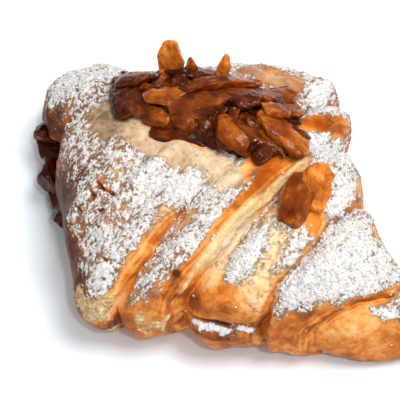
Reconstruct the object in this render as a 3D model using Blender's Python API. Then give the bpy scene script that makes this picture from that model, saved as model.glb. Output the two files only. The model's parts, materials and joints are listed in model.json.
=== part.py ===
"""A filled croissant topped with cooked apple, modelled at its real size.

The croissant lies along X with its right tip at +X.  The near side is -Y, the far side +Y.
It rests on Z = 0, and the origin is under the middle of the whole thing.
Every length below is in millimetres and is turned into metres when a mesh is made.
"""

import math

import bmesh
import bpy
import numpy as np
from mathutils import Euler, Matrix, Vector

MM = 0.001
GAP = 0.3
CLEARANCE = 0.45
SHARP_ANGLE = 40

# ---- rolled dough ----
LEFT_TIP = -74.0
RIGHT_TIP = 88.0
LEFT_TIP_LEVEL = 15.0
RIGHT_TIP_LEVEL = 9.0
LEFT_ROUNDING = 13.0
RIGHT_ROUNDING = 15.0
SECTION_POWER = 2.3
WIDEST_LEVEL = 0.45
BASE_DIP = 4.0
AROUND = 60
LONGEST_STRIDE = 4.8

# Envelope of the dough at stations along it: x, near half width, far half width, height
ENVELOPE = (
    (-74, 12, 10, 28),
    (-66, 15, 12.5, 32),
    (-55, 21, 16, 37),
    (-43, 33, 20, 41),
    (-30, 45.5, 31, 45),
    (-17, 57, 45, 46.5),
    (-6, 65, 51.5, 47),
    (5, 63, 54, 47),
    (20, 54, 48.5, 47),
    (33, 46, 33, 46),
    (48, 36.5, 19, 43),
    (58, 29.5, 13, 37.5),
    (69, 21.5, 8.5, 31),
    (79, 14, 7.5, 25),
    (88, 9, 7, 21),
)

# Edges where one turn of the dough lies over the next, from left to right:
# x at the ridge, outward side, slant to the far side, bend, roll of the lip, run of the wall, step
EDGES = (
    (-44.0, -1, 7.0, -1.0, 0.8, 1.0, 4.0),
    (7.5, 1, 6.0, 2.0, 1.6, 1.0, 5.2),
    (24.0, 1, 3.5, -2.0, 0.2, 2.6, 6.2),
    (44.0, 1, 1.0, -0.5, 1.6, 0.8, 5.4),
    (69.5, 1, 7.0, -6.0, 0.8, 1.0, 4.0),
)
STRAIGHT_BY_EDGE = 3.0

# Rings beside an edge: distance from it and share of the lip's roll or of the step
LIP_RINGS = ((-7.0, 0.0), (-2.6, 0.3), (-0.4, 1.0))
FOOT_RINGS = ((0.0, 1.0), (2.4, 0.55), (6.5, 0.12))
TIP_RING_TURNS = (0.16, 0.38, 0.62, 0.9, 1.2)

# Slow unevenness of hand-rolled dough: height, waves along each millimetre, waves round, phase
UNEVENNESS = (
    (0.55, 0.16, 2, 0.4),
    (0.45, 0.29, -3, 1.9),
    (0.35, 0.41, 4, 4.1),
    (0.25, 0.66, -5, 2.7),
)

# Single forms on the dough: middle x, y, z, reach, height
FORMS = (
    (-6, -63, 10, 9, 1.8),
    (13, -56, 9, 5, 2.0),
    (19, -52, 14, 4, -1.6),
    (30, -47, 25, 6, -2.0),
    (38, -42, 24, 6, -2.0),
    (33, -47, 9, 8, 1.5),
    (57, -29, 12, 9, 1.5),
    (36, 2, 44, 10, -1.2),
)

# ---- filling: a layer that shows at the near left side ----
FILLING_MIDDLE = (-39.5, -9.5, 12.5)
FILLING_HALF_SIZE = (25.0, 18.0, 5.4)
FILLING_HEADING = -41.0
FILLING_POWER = 3.0
FILLING_LUMPS = ((0.035, 9, 0.8), (0.022, 17, 2.4))

# ---- apple pieces ----
PIECE_SIDES = (10, 5)
FILLER_SIDES = (8, 4)
THIN_EDGE = (0.25, 0.6)
BEND = 0.12
BLUNT_END = (0.55, 0.9)
SWELL = 0.12
SQUARENESS = 0.7

# Pieces that stand out in the heap: x, y, height of the middle above the dough,
# length, width, thickness, heading, lift of its +X end, roll about its length
HEAP_PIECES = (
    (-29, 12.5, 7.5, 19, 9.5, 3.6, 122, 66, 8),
    (-22, 17, 6.5, 10, 5, 4, 120, 60, 20),
    (-14.5, 20, 6.5, 12, 6, 4, 105, 55, -15),
    (-20, 12, 5, 25, 8, 4, 34, 2, -20),
    (-35, 2, 4.5, 14, 8, 5, 100, 12, 25),
    (-38, 5, 5, 10, 6, 4.5, 20, 20, 10),
    (-24, 1.5, 6.5, 12, 7, 4, 36, 8, -25),
    (-12.5, 8, 8, 19, 13, 4, 56, 6, 8),
    (-21, -6.5, 3.5, 12, 7, 5, 30, 4, -25),
    (-13, -2.5, 4, 10, 7, 5.5, 24, -6, -20),
    (-9, -7.5, 2.5, 19, 8, 5, 30, 0, -14),
    (0, 9.5, 6.5, 16, 11, 5, 52, 5, 12),
    (3, 24, 4, 11, 8, 5, 38, 8, 20),
    (8, 17.5, 4.5, 11, 8, 5, 30, 10, 15),
    (13, 21.5, 3, 11, 8, 5, -15, -12, 25),
    (7, 2, 4, 23, 8.5, 4.5, 6, -4, -18),
    (17, 11, 3.5, 20, 8.5, 4.5, 0, -8, -14),
)

# Filler pieces between them, laid along an oval spiral on the heap's core
HEAP_MIDDLE = (-9.5, 9.0)
HEAP_HALF_SIZE = (34.0, 14.5, 8.5)
HEAP_HEADING = 9.0
HEAP_SINK = 3.5
CORE_SIDES = (22, 8)
FILLER_COUNT = 15
FILLER_SIZE = (12.0, 7.0, 4.5)
FILLER_REACH = 0.92
FILLER_LEVELS = (2.0, 6.0)
FILLER_SEED = 7
GOLDEN_TURN = 137.5

# The two pieces that fell on the right arm, measured in the same way
CLUMP_PIECES = (
    ("apple_piece_dark", 33.0, -4.0, 0.8, 17, 10.0, 6.5, 112, 6, -12),
    ("apple_piece_bright", 37.0, 4.5, 1.6, 19, 10.5, 7.0, 120, 10, 14),
)

# Lumps of the filling that hang out of the side: x, y, z, length, width, thickness, heading, lift, roll
RIM_PIECES = (
    (-64, -14, 13, 14, 8, 6, -62, 25, 10),
    (-59, -19, 11, 15, 8, 7, -30, -8, 30),
    (-51, -26, 12.5, 17, 9, 8, -48, 8, -20),
    (-45, -31, 10, 15, 9, 6, -20, -6, 15),
    (-38, -36, 11.5, 16, 8, 7, -50, 12, 40),
)

COLOURS = {
    "sugared_crust": ((0.80, 0.64, 0.46), 0.75),
    "apple_filling": ((0.20, 0.07, 0.02), 0.35),
    "cooked_apple": ((0.40, 0.15, 0.04), 0.25),
    "bright_apple": ((0.55, 0.24, 0.05), 0.25),
}


def smooth_table(x, stations, values):
    """Cubic Hermite curve through the stations, with slopes from the neighbours."""
    slopes = np.gradient(values, stations)
    x = np.clip(x, stations[0], stations[-1])
    k = np.clip(np.searchsorted(stations, x) - 1, 0, len(stations) - 2)
    span = stations[k + 1] - stations[k]
    t = (x - stations[k]) / span
    start = (1 + 2 * t) * (1 - t) ** 2 * values[k] + t * (1 - t) ** 2 * span * slopes[k]
    end = t * t * (3 - 2 * t) * values[k + 1] + t * t * (t - 1) * span * slopes[k + 1]
    return start + end


def flattened(wave, power):
    """A sine or cosine raised to a power with its sign kept, which squares off a round section."""
    return np.sign(wave) * np.abs(wave) ** power


def envelope(x):
    """Near half width, far half width and height of the dough at x."""
    table = np.array(ENVELOPE, float)
    return [smooth_table(x, table[:, 0], table[:, column]) for column in (1, 2, 3)]


def wrap_lean(x):
    """Slant and bend of the turns at x: those of an edge close to it, blended in between."""
    knots = [LEFT_TIP]
    slants = [0.0]
    bends = [0.0]
    for ridge, _, slant, bend, _, _, _ in EDGES:
        knots += [ridge - STRAIGHT_BY_EDGE, ridge + STRAIGHT_BY_EDGE]
        slants += [slant, slant]
        bends += [bend, bend]
    knots.append(RIGHT_TIP)
    slants.append(0.0)
    bends.append(0.0)
    return np.interp(x, knots, slants), np.interp(x, knots, bends)


def ring_places():
    """Base x and relief of every ring, from the left tip to the right tip."""
    rings = []
    for ridge, outward, _, _, roll, run, step in EDGES:
        for distance, share in LIP_RINGS:
            rings.append((ridge + outward * distance, -roll * share))
        for distance, share in FOOT_RINGS:
            rings.append((ridge + outward * (run + distance), -step * share))
    for turn in TIP_RING_TURNS:
        rings.append((LEFT_TIP + LEFT_ROUNDING * (1 - math.cos(turn)), 0.0))
        rings.append((RIGHT_TIP - RIGHT_ROUNDING * (1 - math.cos(turn)), 0.0))
    rings.sort()
    filled = [rings[0]]
    for ring in rings[1:]:
        before = filled[-1]
        pieces = math.ceil((ring[0] - before[0]) / LONGEST_STRIDE)
        for piece in range(1, pieces + 1):
            t = piece / pieces
            filled.append(tuple(a + (b - a) * t for a, b in zip(before, ring)))
    return np.array(filled)


def dough_point(x, relief, angle):
    """Place on the dough: a superellipse section, flat underneath, rounded off at both tips."""
    for height, along, around, phase in UNEVENNESS:
        relief = relief + height * np.sin(along * x + around * angle + phase)
    across = flattened(np.cos(angle), 2 / SECTION_POWER)
    upward = flattened(np.sin(angle), 2 / SECTION_POWER)
    slant, bend = wrap_lean(x)
    x = x + slant * across + bend * across ** 2
    near, far, height = [size + relief for size in envelope(x)]
    middle = (far - near) / 2
    level = WIDEST_LEVEL * height
    y = middle + (near + far) / 2 * across
    z = level + np.where(upward > 0, height - level, level + BASE_DIP) * upward
    for tip, side, rounding, tip_level in (
        (LEFT_TIP, 1, LEFT_ROUNDING, LEFT_TIP_LEVEL),
        (RIGHT_TIP, -1, RIGHT_ROUNDING, RIGHT_TIP_LEVEL),
    ):
        inset = np.clip(1 - side * (x - tip) / rounding, 0, 1)
        share = np.sqrt(1 - inset ** 2)
        y = middle + (y - middle) * share
        z = tip_level + (z - tip_level) * share
    for form_x, form_y, form_z, reach, height in FORMS:
        far_off = (x - form_x) ** 2 + (y - form_y) ** 2 + (z - form_z) ** 2
        push = height * np.exp(-far_off / reach ** 2)
        y = y + push * np.cos(angle)
        z = z + push * np.sin(angle)
    return x, y, np.maximum(z, 0)


def ball(name, around, rings, place):
    """A sphere whose points are moved by place(ring, angle), rings counted up to the + pole."""
    shape = bmesh.new()
    bmesh.ops.create_uvsphere(shape, u_segments=around, v_segments=rings + 1, radius=1.0)
    start = np.array([vertex.co[:] for vertex in shape.verts])
    turn = np.arccos(np.clip(start[:, 2], -1, 1)) / math.pi
    ring = np.rint((1 - turn) * (rings + 1)).astype(int)
    angle = np.arctan2(start[:, 1], start[:, 0])
    moved = np.stack(place(ring, angle), -1) * MM
    for vertex, spot in zip(shape.verts, moved):
        vertex.co = spot
    bmesh.ops.triangulate(shape, faces=shape.faces)
    mesh = bpy.data.meshes.new(name)
    shape.to_mesh(mesh)
    shape.free()
    return bpy.data.objects.new(name, mesh)


def make_dough(name):
    """The whole roll of dough before it is cut open."""
    rings = ring_places()
    count = len(rings)

    def place(ring, angle):
        x, relief = rings[np.clip(ring - 1, 0, count - 1)].T
        x = np.where(ring == 0, LEFT_TIP, np.where(ring == count + 1, RIGHT_TIP, x))
        return dough_point(x, relief, angle)

    return ball(name, AROUND, count, place)


def make_filling_layer(name, grow):
    """A thick lumpy layer with a rounded oblong outline, grown all over by grow."""
    around, rings = 36, 7
    length, width, thickness = [size + grow for size in FILLING_HALF_SIZE]
    heading = math.radians(FILLING_HEADING)
    power = 2 / FILLING_POWER

    def place(ring, angle):
        turn = math.pi * ring / (rings + 1)
        flat = np.abs(np.sin(turn)) ** power
        upward = -flattened(np.cos(turn), power)
        for share, waves, phase in FILLING_LUMPS:
            flat = flat * (1 + share * np.sin(waves * angle + phase))
        along = length * flat * flattened(np.cos(angle), power)
        across = width * flat * flattened(np.sin(angle), power)
        x = FILLING_MIDDLE[0] + along * math.cos(heading) - across * math.sin(heading)
        y = FILLING_MIDDLE[1] + along * math.sin(heading) + across * math.cos(heading)
        return x, y, FILLING_MIDDLE[2] + thickness * upward

    return ball(name, around, rings, place)


def make_piece(name, size, middle, heading, lift, roll, seed, sides=PIECE_SIDES):
    """A slice of cooked apple: a slab with a thin edge, soft corners and a slight bend."""
    length, width, thickness = size
    around, rings = sides
    drawn = np.random.default_rng(seed)
    thin_edge = drawn.uniform(*THIN_EDGE)
    bend = drawn.uniform(-BEND, BEND) * length
    blunt = drawn.uniform(*BLUNT_END)
    swell = 1 + drawn.uniform(-SWELL, SWELL, rings + 2)

    def place(ring, angle):
        along = ring / (rings + 1) * 2 - 1
        end = np.clip(1 - np.abs(along) ** 3, 0, 1) ** 0.5
        end = end * np.where(along > 0, 1 - (1 - blunt) * along, 1)
        edge = 1 - thin_edge * np.cos(angle)
        y = width / 2 * end * swell[ring] * flattened(np.cos(angle), SQUARENESS)
        z = thickness / 2 * end * edge * flattened(np.sin(angle), SQUARENESS)
        return z, y + bend * (along ** 2 - 0.4), -along * length / 2

    piece = ball(name, around, rings, place)
    piece.data.transform(Matrix.Rotation(math.radians(90), 4, "Y"))
    piece.rotation_euler = Euler([math.radians(a) for a in (roll, -lift, heading)], "XYZ")
    piece.location = Vector(middle) * MM
    return piece


def dough_top(x, y):
    """Height of the dough's envelope over a point of the plan."""
    near, far, height = [float(size) for size in envelope(np.array(float(x)))]
    across = (y - (far - near) / 2) / ((near + far) / 2)
    rise = max(0.0, 1 - abs(across) ** SECTION_POWER) ** (1 / SECTION_POWER)
    return height * (WIDEST_LEVEL + (1 - WIDEST_LEVEL) * rise)


def heap_members():
    """The heap's core, the pieces that stand out and the fillers between them."""
    half_length, half_width, half_height = HEAP_HALF_SIZE
    x, y = HEAP_MIDDLE
    heading = math.radians(HEAP_HEADING)

    def place(ring, angle):
        turn = math.pi * ring / (CORE_SIDES[1] + 1)
        along = half_length * np.sin(turn) * np.cos(angle)
        across = half_width * np.sin(turn) * np.sin(angle)
        spot_x = x + along * math.cos(heading) - across * math.sin(heading)
        spot_y = y + along * math.sin(heading) + across * math.cos(heading)
        return spot_x, spot_y, dough_top(x, y) - HEAP_SINK - half_height * np.cos(turn)

    members = [ball("heap_core", *CORE_SIDES, place)]
    for number, row in enumerate(HEAP_PIECES):
        spot_x, spot_y, above, length, width, thickness, turn, lift, roll = row
        middle = (spot_x, spot_y, dough_top(spot_x, spot_y) + above)
        size = (length, width, thickness)
        members.append(make_piece(f"heap_{number}", size, middle, turn, lift, roll, number))
    drawn = np.random.default_rng(FILLER_SEED)
    for number in range(FILLER_COUNT):
        out = math.sqrt((number + 0.5) / FILLER_COUNT) * FILLER_REACH
        turn = number * math.radians(GOLDEN_TURN)
        along = half_length * out * math.cos(turn)
        across = half_width * out * math.sin(turn)
        spot_x = x + along * math.cos(heading) - across * math.sin(heading)
        spot_y = y + along * math.sin(heading) + across * math.cos(heading)
        above = FILLER_LEVELS[0] * out ** 2 + FILLER_LEVELS[1] * (1 - out ** 2)
        middle = (spot_x, spot_y, dough_top(spot_x, spot_y) + above)
        size = [side * drawn.uniform(0.8, 1.15) for side in FILLER_SIZE]
        turns = (drawn.uniform(0, 180), drawn.uniform(-22, 22), drawn.uniform(-40, 40))
        name = f"filler_{number}"
        members.append(make_piece(name, size, middle, *turns, 100 + number, FILLER_SIDES))
    return members


def grown_copy(thing, name, distance):
    """A copy with its points moved out along the normals."""
    copy = bpy.data.objects.new(name, thing.data.copy())
    normals = [vertex.normal.copy() for vertex in copy.data.vertices]
    for vertex, normal in zip(copy.data.vertices, normals):
        vertex.co += normal * distance * MM
    return copy


def settled(thing):
    """Turn the modifiers and the placing into plain mesh."""
    depsgraph = bpy.context.evaluated_depsgraph_get()
    mesh = bpy.data.meshes.new_from_object(thing.evaluated_get(depsgraph))
    mesh.transform(thing.matrix_world)
    thing.modifiers.clear()
    thing.data = mesh
    thing.matrix_world = Matrix.Identity(4)


def cut(thing, cutter):
    """Take the cutter's space out of a piece."""
    step = thing.modifiers.new("cut", "BOOLEAN")
    step.operation = "DIFFERENCE"
    step.solver = "MANIFOLD"
    step.object = cutter
    bpy.context.view_layer.update()
    settled(thing)


def fuse(thing, members):
    """Join a collection of pieces to one piece in a single union, then remove them."""
    step = thing.modifiers.new("fuse", "BOOLEAN")
    step.operation = "UNION"
    step.solver = "MANIFOLD"
    step.operand_type = "COLLECTION"
    step.collection = members
    bpy.context.view_layer.update()
    settled(thing)
    for member in list(members.objects):
        bpy.data.objects.remove(member, do_unlink=True)
    bpy.data.collections.remove(members)


def keep_largest(thing):
    """Drop the loose scraps that a cut leaves, and the tiniest edges."""
    shape = bmesh.new()
    shape.from_mesh(thing.data)
    bmesh.ops.remove_doubles(shape, verts=shape.verts, dist=0.02 * MM)
    bmesh.ops.dissolve_degenerate(shape, edges=shape.edges, dist=0.02 * MM)
    bmesh.ops.triangulate(shape, faces=shape.faces)
    left = set(shape.verts)
    islands = []
    while left:
        island = set()
        front = [left.pop()]
        while front:
            vertex = front.pop()
            island.add(vertex)
            for edge in vertex.link_edges:
                other = edge.other_vert(vertex)
                if other in left:
                    left.remove(other)
                    front.append(other)
        islands.append(island)
    largest = max(islands, key=len)
    scraps = [vertex for vertex in shape.verts if vertex not in largest]
    bmesh.ops.delete(shape, geom=scraps, context="VERTS")
    shape.to_mesh(thing.data)
    shape.free()


def group(name, things, parent):
    """A collection with these objects in it."""
    made = bpy.data.collections.new(name)
    parent.children.link(made)
    for thing in things:
        made.objects.link(thing)
    return made


def give_material(thing, name):
    """A plain Principled material with the colour and roughness named above."""
    colour, roughness = COLOURS[name]
    material = bpy.data.materials.get(name) or bpy.data.materials.new(name)
    material.use_nodes = True
    shader = material.node_tree.nodes["Principled BSDF"]
    shader.inputs["Base Color"].default_value = (*colour, 1.0)
    shader.inputs["Roughness"].default_value = roughness
    shader.inputs["Metallic"].default_value = 0.0
    thing.data.materials.clear()
    thing.data.materials.append(material)


def centre_on_origin(things):
    """Move everything so that the middle of the whole box stands over the origin."""
    corners = np.array([v.co[:] for thing in things for v in thing.data.vertices])
    middle = (corners.min(0) + corners.max(0)) / 2
    for thing in things:
        thing.data.transform(Matrix.Translation((-middle[0], -middle[1], 0)))
    return middle / MM


def main():
    for thing in list(bpy.data.objects):
        bpy.data.objects.remove(thing, do_unlink=True)
    root = bpy.context.scene.collection
    model = group("apple_cinnamon_croissant", [], root)
    cutters = group("cutters", [], root)

    croissant = make_dough("croissant")
    model.objects.link(croissant)
    crust_guard = grown_copy(croissant, "crust_guard", CLEARANCE)
    pocket = make_filling_layer("pocket", GAP)
    for cutter in (crust_guard, pocket):
        cutters.objects.link(cutter)
        cutter.hide_render = True
        cutter.display_type = "WIRE"

    filling = make_filling_layer("apple_filling", 0.0)
    model.objects.link(filling)
    rim = []
    for number, row in enumerate(RIM_PIECES):
        rim.append(make_piece(f"rim_{number}", row[3:6], row[:3], *row[6:], 50 + number))
    rim_group = group("rim_pieces", rim, root)
    for piece in rim:
        cut(piece, crust_guard)
    fuse(filling, rim_group)

    heap, *pieces = heap_members()
    heap.name = "apple_heap"
    model.objects.link(heap)
    fuse(heap, group("heap_pieces", pieces, root))
    cut(heap, crust_guard)

    clump = []
    for number, row in enumerate(CLUMP_PIECES):
        name, x, y, above, length, width, thickness, *turns = row
        middle = (x, y, dough_top(x, y) + above)
        piece = make_piece(name, (length, width, thickness), middle, *turns, 30 + number)
        model.objects.link(piece)
        settled(piece)
        cut(piece, crust_guard)
        clump.append(piece)
    beside = grown_copy(clump[1], "beside", GAP)
    cutters.objects.link(beside)
    beside.hide_render = True
    beside.display_type = "WIRE"
    cut(clump[0], beside)

    cut(croissant, pocket)

    finished = [croissant, filling, heap, *clump]
    slots = ("sugared_crust", "apple_filling", "cooked_apple", "cooked_apple", "bright_apple")
    for thing, slot in zip(finished, slots):
        keep_largest(thing)
        give_material(thing, slot)
        thing.data.shade_smooth()
        thing.data.set_sharp_from_angle(angle=math.radians(SHARP_ANGLE))
        print(thing.name, len(thing.data.polygons), "faces")
    print("middle before centring, mm:", centre_on_origin(finished).round(2))


main()
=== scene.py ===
# %% [markdown]
# # A filled croissant with cooked apple and cinnamon
# The real thing is a sheet of laminated dough, cut as a long triangle, rolled up from its wide
# end, baked, filled, topped with cooked apple and dusted with sugar.  This script dresses the
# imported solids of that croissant: each cell makes one piece or one finish.  Lengths are in
# millimetres, in the dough's own coordinates: X runs along the roll, the near side is -Y.
# Numbers named cell are the spacing of a random grain's lattice, and equal seeds repeat it.

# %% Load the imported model
import itertools
import json
import math
import bpy
import numpy as np
from mathutils import Euler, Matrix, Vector

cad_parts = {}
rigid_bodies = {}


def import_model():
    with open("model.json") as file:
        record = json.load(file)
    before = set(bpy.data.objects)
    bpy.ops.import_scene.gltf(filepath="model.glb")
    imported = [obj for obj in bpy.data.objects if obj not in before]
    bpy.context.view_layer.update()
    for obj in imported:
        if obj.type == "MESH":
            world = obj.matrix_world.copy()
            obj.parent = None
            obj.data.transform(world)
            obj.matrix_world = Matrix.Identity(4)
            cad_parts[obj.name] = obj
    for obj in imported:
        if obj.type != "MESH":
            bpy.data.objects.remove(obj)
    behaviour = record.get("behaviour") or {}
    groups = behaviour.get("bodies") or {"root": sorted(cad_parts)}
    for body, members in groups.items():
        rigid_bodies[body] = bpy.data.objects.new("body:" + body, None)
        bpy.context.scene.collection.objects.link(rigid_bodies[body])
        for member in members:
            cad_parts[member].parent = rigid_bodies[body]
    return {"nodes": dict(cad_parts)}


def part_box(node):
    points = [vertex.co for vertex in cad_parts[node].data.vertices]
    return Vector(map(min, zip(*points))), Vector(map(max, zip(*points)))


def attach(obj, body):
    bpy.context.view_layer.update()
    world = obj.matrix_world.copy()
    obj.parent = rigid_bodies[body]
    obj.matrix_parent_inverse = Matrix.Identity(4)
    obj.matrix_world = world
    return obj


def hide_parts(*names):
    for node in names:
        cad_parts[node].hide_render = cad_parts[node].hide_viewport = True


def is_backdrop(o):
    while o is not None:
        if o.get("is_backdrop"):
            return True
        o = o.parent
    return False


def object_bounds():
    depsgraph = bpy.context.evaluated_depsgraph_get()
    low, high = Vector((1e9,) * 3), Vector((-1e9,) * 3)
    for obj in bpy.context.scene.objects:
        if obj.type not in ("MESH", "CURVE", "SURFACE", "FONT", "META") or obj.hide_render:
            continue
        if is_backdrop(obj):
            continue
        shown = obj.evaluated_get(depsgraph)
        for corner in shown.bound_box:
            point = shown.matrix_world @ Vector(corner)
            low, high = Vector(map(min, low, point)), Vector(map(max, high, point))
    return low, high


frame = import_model()
cad_bounds = [list(corner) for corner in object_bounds()]
MM = 0.001
print("packed nodes:", sorted(frame["nodes"]))

# %% [markdown]
# ## Where the dough's coordinates lie
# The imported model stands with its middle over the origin, while the dough is easier to describe
# from its own ridge.  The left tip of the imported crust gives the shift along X; across, the
# ridge line lies a little to the far side of the middle of the whole box.

# %% Shift from the dough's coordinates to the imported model's
LEFT_TIP, RIGHT_TIP = -74.0, 88.0
RIDGE_SETBACK = 5.47
crust_low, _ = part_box("croissant")
SHIFT = np.array([crust_low.x / MM - LEFT_TIP, RIDGE_SETBACK, 0.0])
print("shift of the dough's coordinates, mm:", SHIFT.round(2))

# %% [markdown]
# ## Camera
# The photograph looks down at about 56 degrees, turned by 37 degrees to the right arm, from about
# half a metre.  A long lens from there keeps the lines of the rolled dough nearly parallel.

# %% Camera at the photograph's viewing angle
VIEW_AZIMUTH, VIEW_ELEVATION, VIEW_DISTANCE = 37.0, 56.0, 456.0
TARGET = np.array([-1.0, -9.0, 21.0])
LENS, SENSOR_WIDTH = 122.2, 36.0
CLIP_START = 0.01


def direction(azimuth, elevation):
    """Unit vector towards a viewer: azimuth turns from -Y towards +X, elevation rises."""
    a, e = math.radians(azimuth), math.radians(elevation)
    return np.array([math.sin(a) * math.cos(e), -math.cos(a) * math.cos(e), math.sin(e)])


towards = direction(VIEW_AZIMUTH, VIEW_ELEVATION)
camera = bpy.data.objects.new("camera", bpy.data.cameras.new("camera"))
camera.data.sensor_width = SENSOR_WIDTH
camera.data.lens = LENS
camera.data.clip_start = CLIP_START
camera.location = Vector((TARGET + SHIFT + towards * VIEW_DISTANCE) * MM)
camera.rotation_euler = Vector(towards).to_track_quat("Z", "Y").to_euler()
bpy.context.scene.collection.objects.link(camera)
bpy.context.scene.camera = camera
print("camera at", [round(c, 3) for c in camera.location])

# %% [markdown]
# ## Floor
# The croissant stands on a plain pale ground that only shows its soft shadow.  One large square
# is enough.  Its white is a little cool, because the light that bounces off the crust is warm.

# %% Floor
FLOOR_SIZE = 6.0
FLOOR_COLOUR = (0.88, 0.94, 0.99)
FLOOR_ROUGHNESS = 0.9

half = FLOOR_SIZE / 2
floor_mesh = bpy.data.meshes.new("floor")
floor_mesh.from_pydata(
    [(-half, -half, 0), (half, -half, 0), (half, half, 0), (-half, half, 0)], [], [(0, 1, 2, 3)]
)
pale_floor = bpy.data.materials.new("pale_floor")
pale_floor.use_nodes = True
floor_shader = pale_floor.node_tree.nodes["Principled BSDF"]
floor_shader.inputs["Base Color"].default_value = (*FLOOR_COLOUR, 1.0)
floor_shader.inputs["Roughness"].default_value = FLOOR_ROUGHNESS
floor_mesh.materials.append(pale_floor)
floor = bpy.data.objects.new("floor", floor_mesh)
bpy.context.scene.collection.objects.link(floor)
floor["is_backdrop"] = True
print("floor side in metres:", FLOOR_SIZE)

# %% [markdown]
# ## Soft lights
# As in a studio, the main light is large and high, to the right and a little behind, so the left
# sides go grey and a soft shadow falls to the left and front.  A small light by the camera puts
# glints on the wet apple.  A weak fill and white surroundings lift what the main light misses.

# %% Soft lights
# name, azimuth, elevation, distance and side in metres, watts, colour
LIGHTS = (
    ("key", 120, 70, 1.1, 0.50, 10.7, (1.0, 0.99, 0.975)),
    ("sparkle", 55, 62, 1.1, 0.07, 2.3, (1.0, 1.0, 1.0)),
    ("fill", 20, 62, 1.3, 1.0, 1.2, (0.97, 0.98, 1.0)),
)
SURROUNDINGS_STRENGTH = 0.46


def soft_light(name, azimuth, elevation, distance, side, watts, colour):
    """A square area light that faces the croissant from an azimuth and an elevation."""
    light = bpy.data.lights.new(name, "AREA")
    light.size = side
    light.energy = watts
    light.color = colour
    lamp = bpy.data.objects.new(name, light)
    aim = direction(azimuth, elevation)
    lamp.location = Vector(aim * distance)
    lamp.rotation_euler = Vector(aim).to_track_quat("Z", "Y").to_euler()
    bpy.context.scene.collection.objects.link(lamp)


for row in LIGHTS:
    soft_light(*row)
world = bpy.data.worlds.new("studio")
world.use_nodes = True
background = world.node_tree.nodes["Background"]
background.inputs["Color"].default_value = (1, 1, 1, 1)
background.inputs["Strength"].default_value = SURROUNDINGS_STRENGTH
bpy.context.scene.world = world
bpy.context.scene.view_settings.view_transform = "Standard"

# %% [markdown]
# ## Smooth steps and random grain
# Baked dough is uneven at every size.  A smooth random field, made from random values on a
# cubic lattice, gives that unevenness as whole arrays, and the same points always get the same
# values.  Sums of ever finer fields look like the mixed sizes of real lumps and pores.

# %% Smooth steps and random grain
LATTICE_SIZE, LATTICE_SEED = 1 << 16, 11
LATTICE = np.random.default_rng(LATTICE_SEED).uniform(-1, 1, LATTICE_SIZE)
LATTICE_PRIMES = np.array([73856093, 19349663, 83492791])
SEED_STRIDE = 17.31
OCTAVE_TURN = np.array([[0.36, 0.48, -0.80], [-0.80, 0.60, 0.0], [0.48, 0.64, 0.60]])
OCTAVE_STRENGTH = 0.55


def step_up(low, high, value):
    """0 below low, 1 above high and a smooth S curve in between."""
    t = np.clip((value - low) / (high - low), 0, 1)
    return t * t * (3 - 2 * t)


def grain(points, cell, seed=0):
    """Random values on a cubic lattice, blended smoothly between the eight corners round a point."""
    place = points / cell + seed * SEED_STRIDE
    base = np.floor(place).astype(np.int64)
    share = place - base
    share = share * share * (3 - 2 * share)
    total = np.zeros(points.shape[:-1])
    for corner in np.ndindex(2, 2, 2):
        spot = (base + np.array(corner)) * LATTICE_PRIMES
        key = (spot[..., 0] ^ spot[..., 1] ^ spot[..., 2]) & (LATTICE_SIZE - 1)
        weight = np.prod(np.where(np.array(corner), share, 1 - share), axis=-1)
        total += LATTICE[key] * weight
    return total


def rough(points, cell, octaves=3, seed=0):
    """Sum of grains, each half as large and about half as strong as the one before."""
    total = np.zeros(points.shape[:-1])
    size = 0.0
    for octave in range(octaves):
        strength = OCTAVE_STRENGTH ** octave
        total += grain(points, cell, seed + octave) * strength
        size += strength
        points = points @ OCTAVE_TURN.T
        cell = cell * 0.5
    return total / size


print("spread of the lattice's values:", LATTICE.std().round(3))

# %% [markdown]
# ## Meshes from grids of points
# Every turn of dough and every slice of apple is a grid of points that closes round a section
# and ends in two poles, so one function makes the faces of them all.  Masks such as sugar or
# browning are worked out with the points and stored on the mesh for the material to read.

# %% Faces and normals of a closed grid
def grid_triangles(rows, columns):
    """Triangles of a grid that closes round its columns, with a pole before and after its rows."""
    row, column = np.meshgrid(np.arange(rows - 1), np.arange(columns), indexing="ij")
    here = row * columns + column
    beside = row * columns + (column + 1) % columns
    first = np.stack([here, beside, here + columns], -1).reshape(-1, 3)
    second = np.stack([beside, beside + columns, here + columns], -1).reshape(-1, 3)
    ring = np.arange(columns)
    after = (ring + 1) % columns
    last = (rows - 1) * columns
    start = np.stack([np.full(columns, rows * columns), after, ring], -1)
    end = np.stack([np.full(columns, rows * columns + 1), last + ring, last + after], -1)
    return np.concatenate([first, second, start, end])


def with_poles(values):
    """Flatten a grid's values and add the means of its first and last row for the two poles."""
    flat = values.reshape(-1, *values.shape[2:])
    return np.concatenate([flat, values[:1].mean(1), values[-1:].mean(1)])


def grid_normals(points):
    """Unit normals of a closed grid: column direction cross row direction."""
    along = np.gradient(points, axis=0)
    around = np.roll(points, -1, 1) - np.roll(points, 1, 1)
    normal = np.cross(around, along)
    return normal / np.maximum(np.linalg.norm(normal, axis=-1, keepdims=True), 1e-9)


print("a grid of 3 by 4 points closes with", len(grid_triangles(3, 4)), "triangles")


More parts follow.
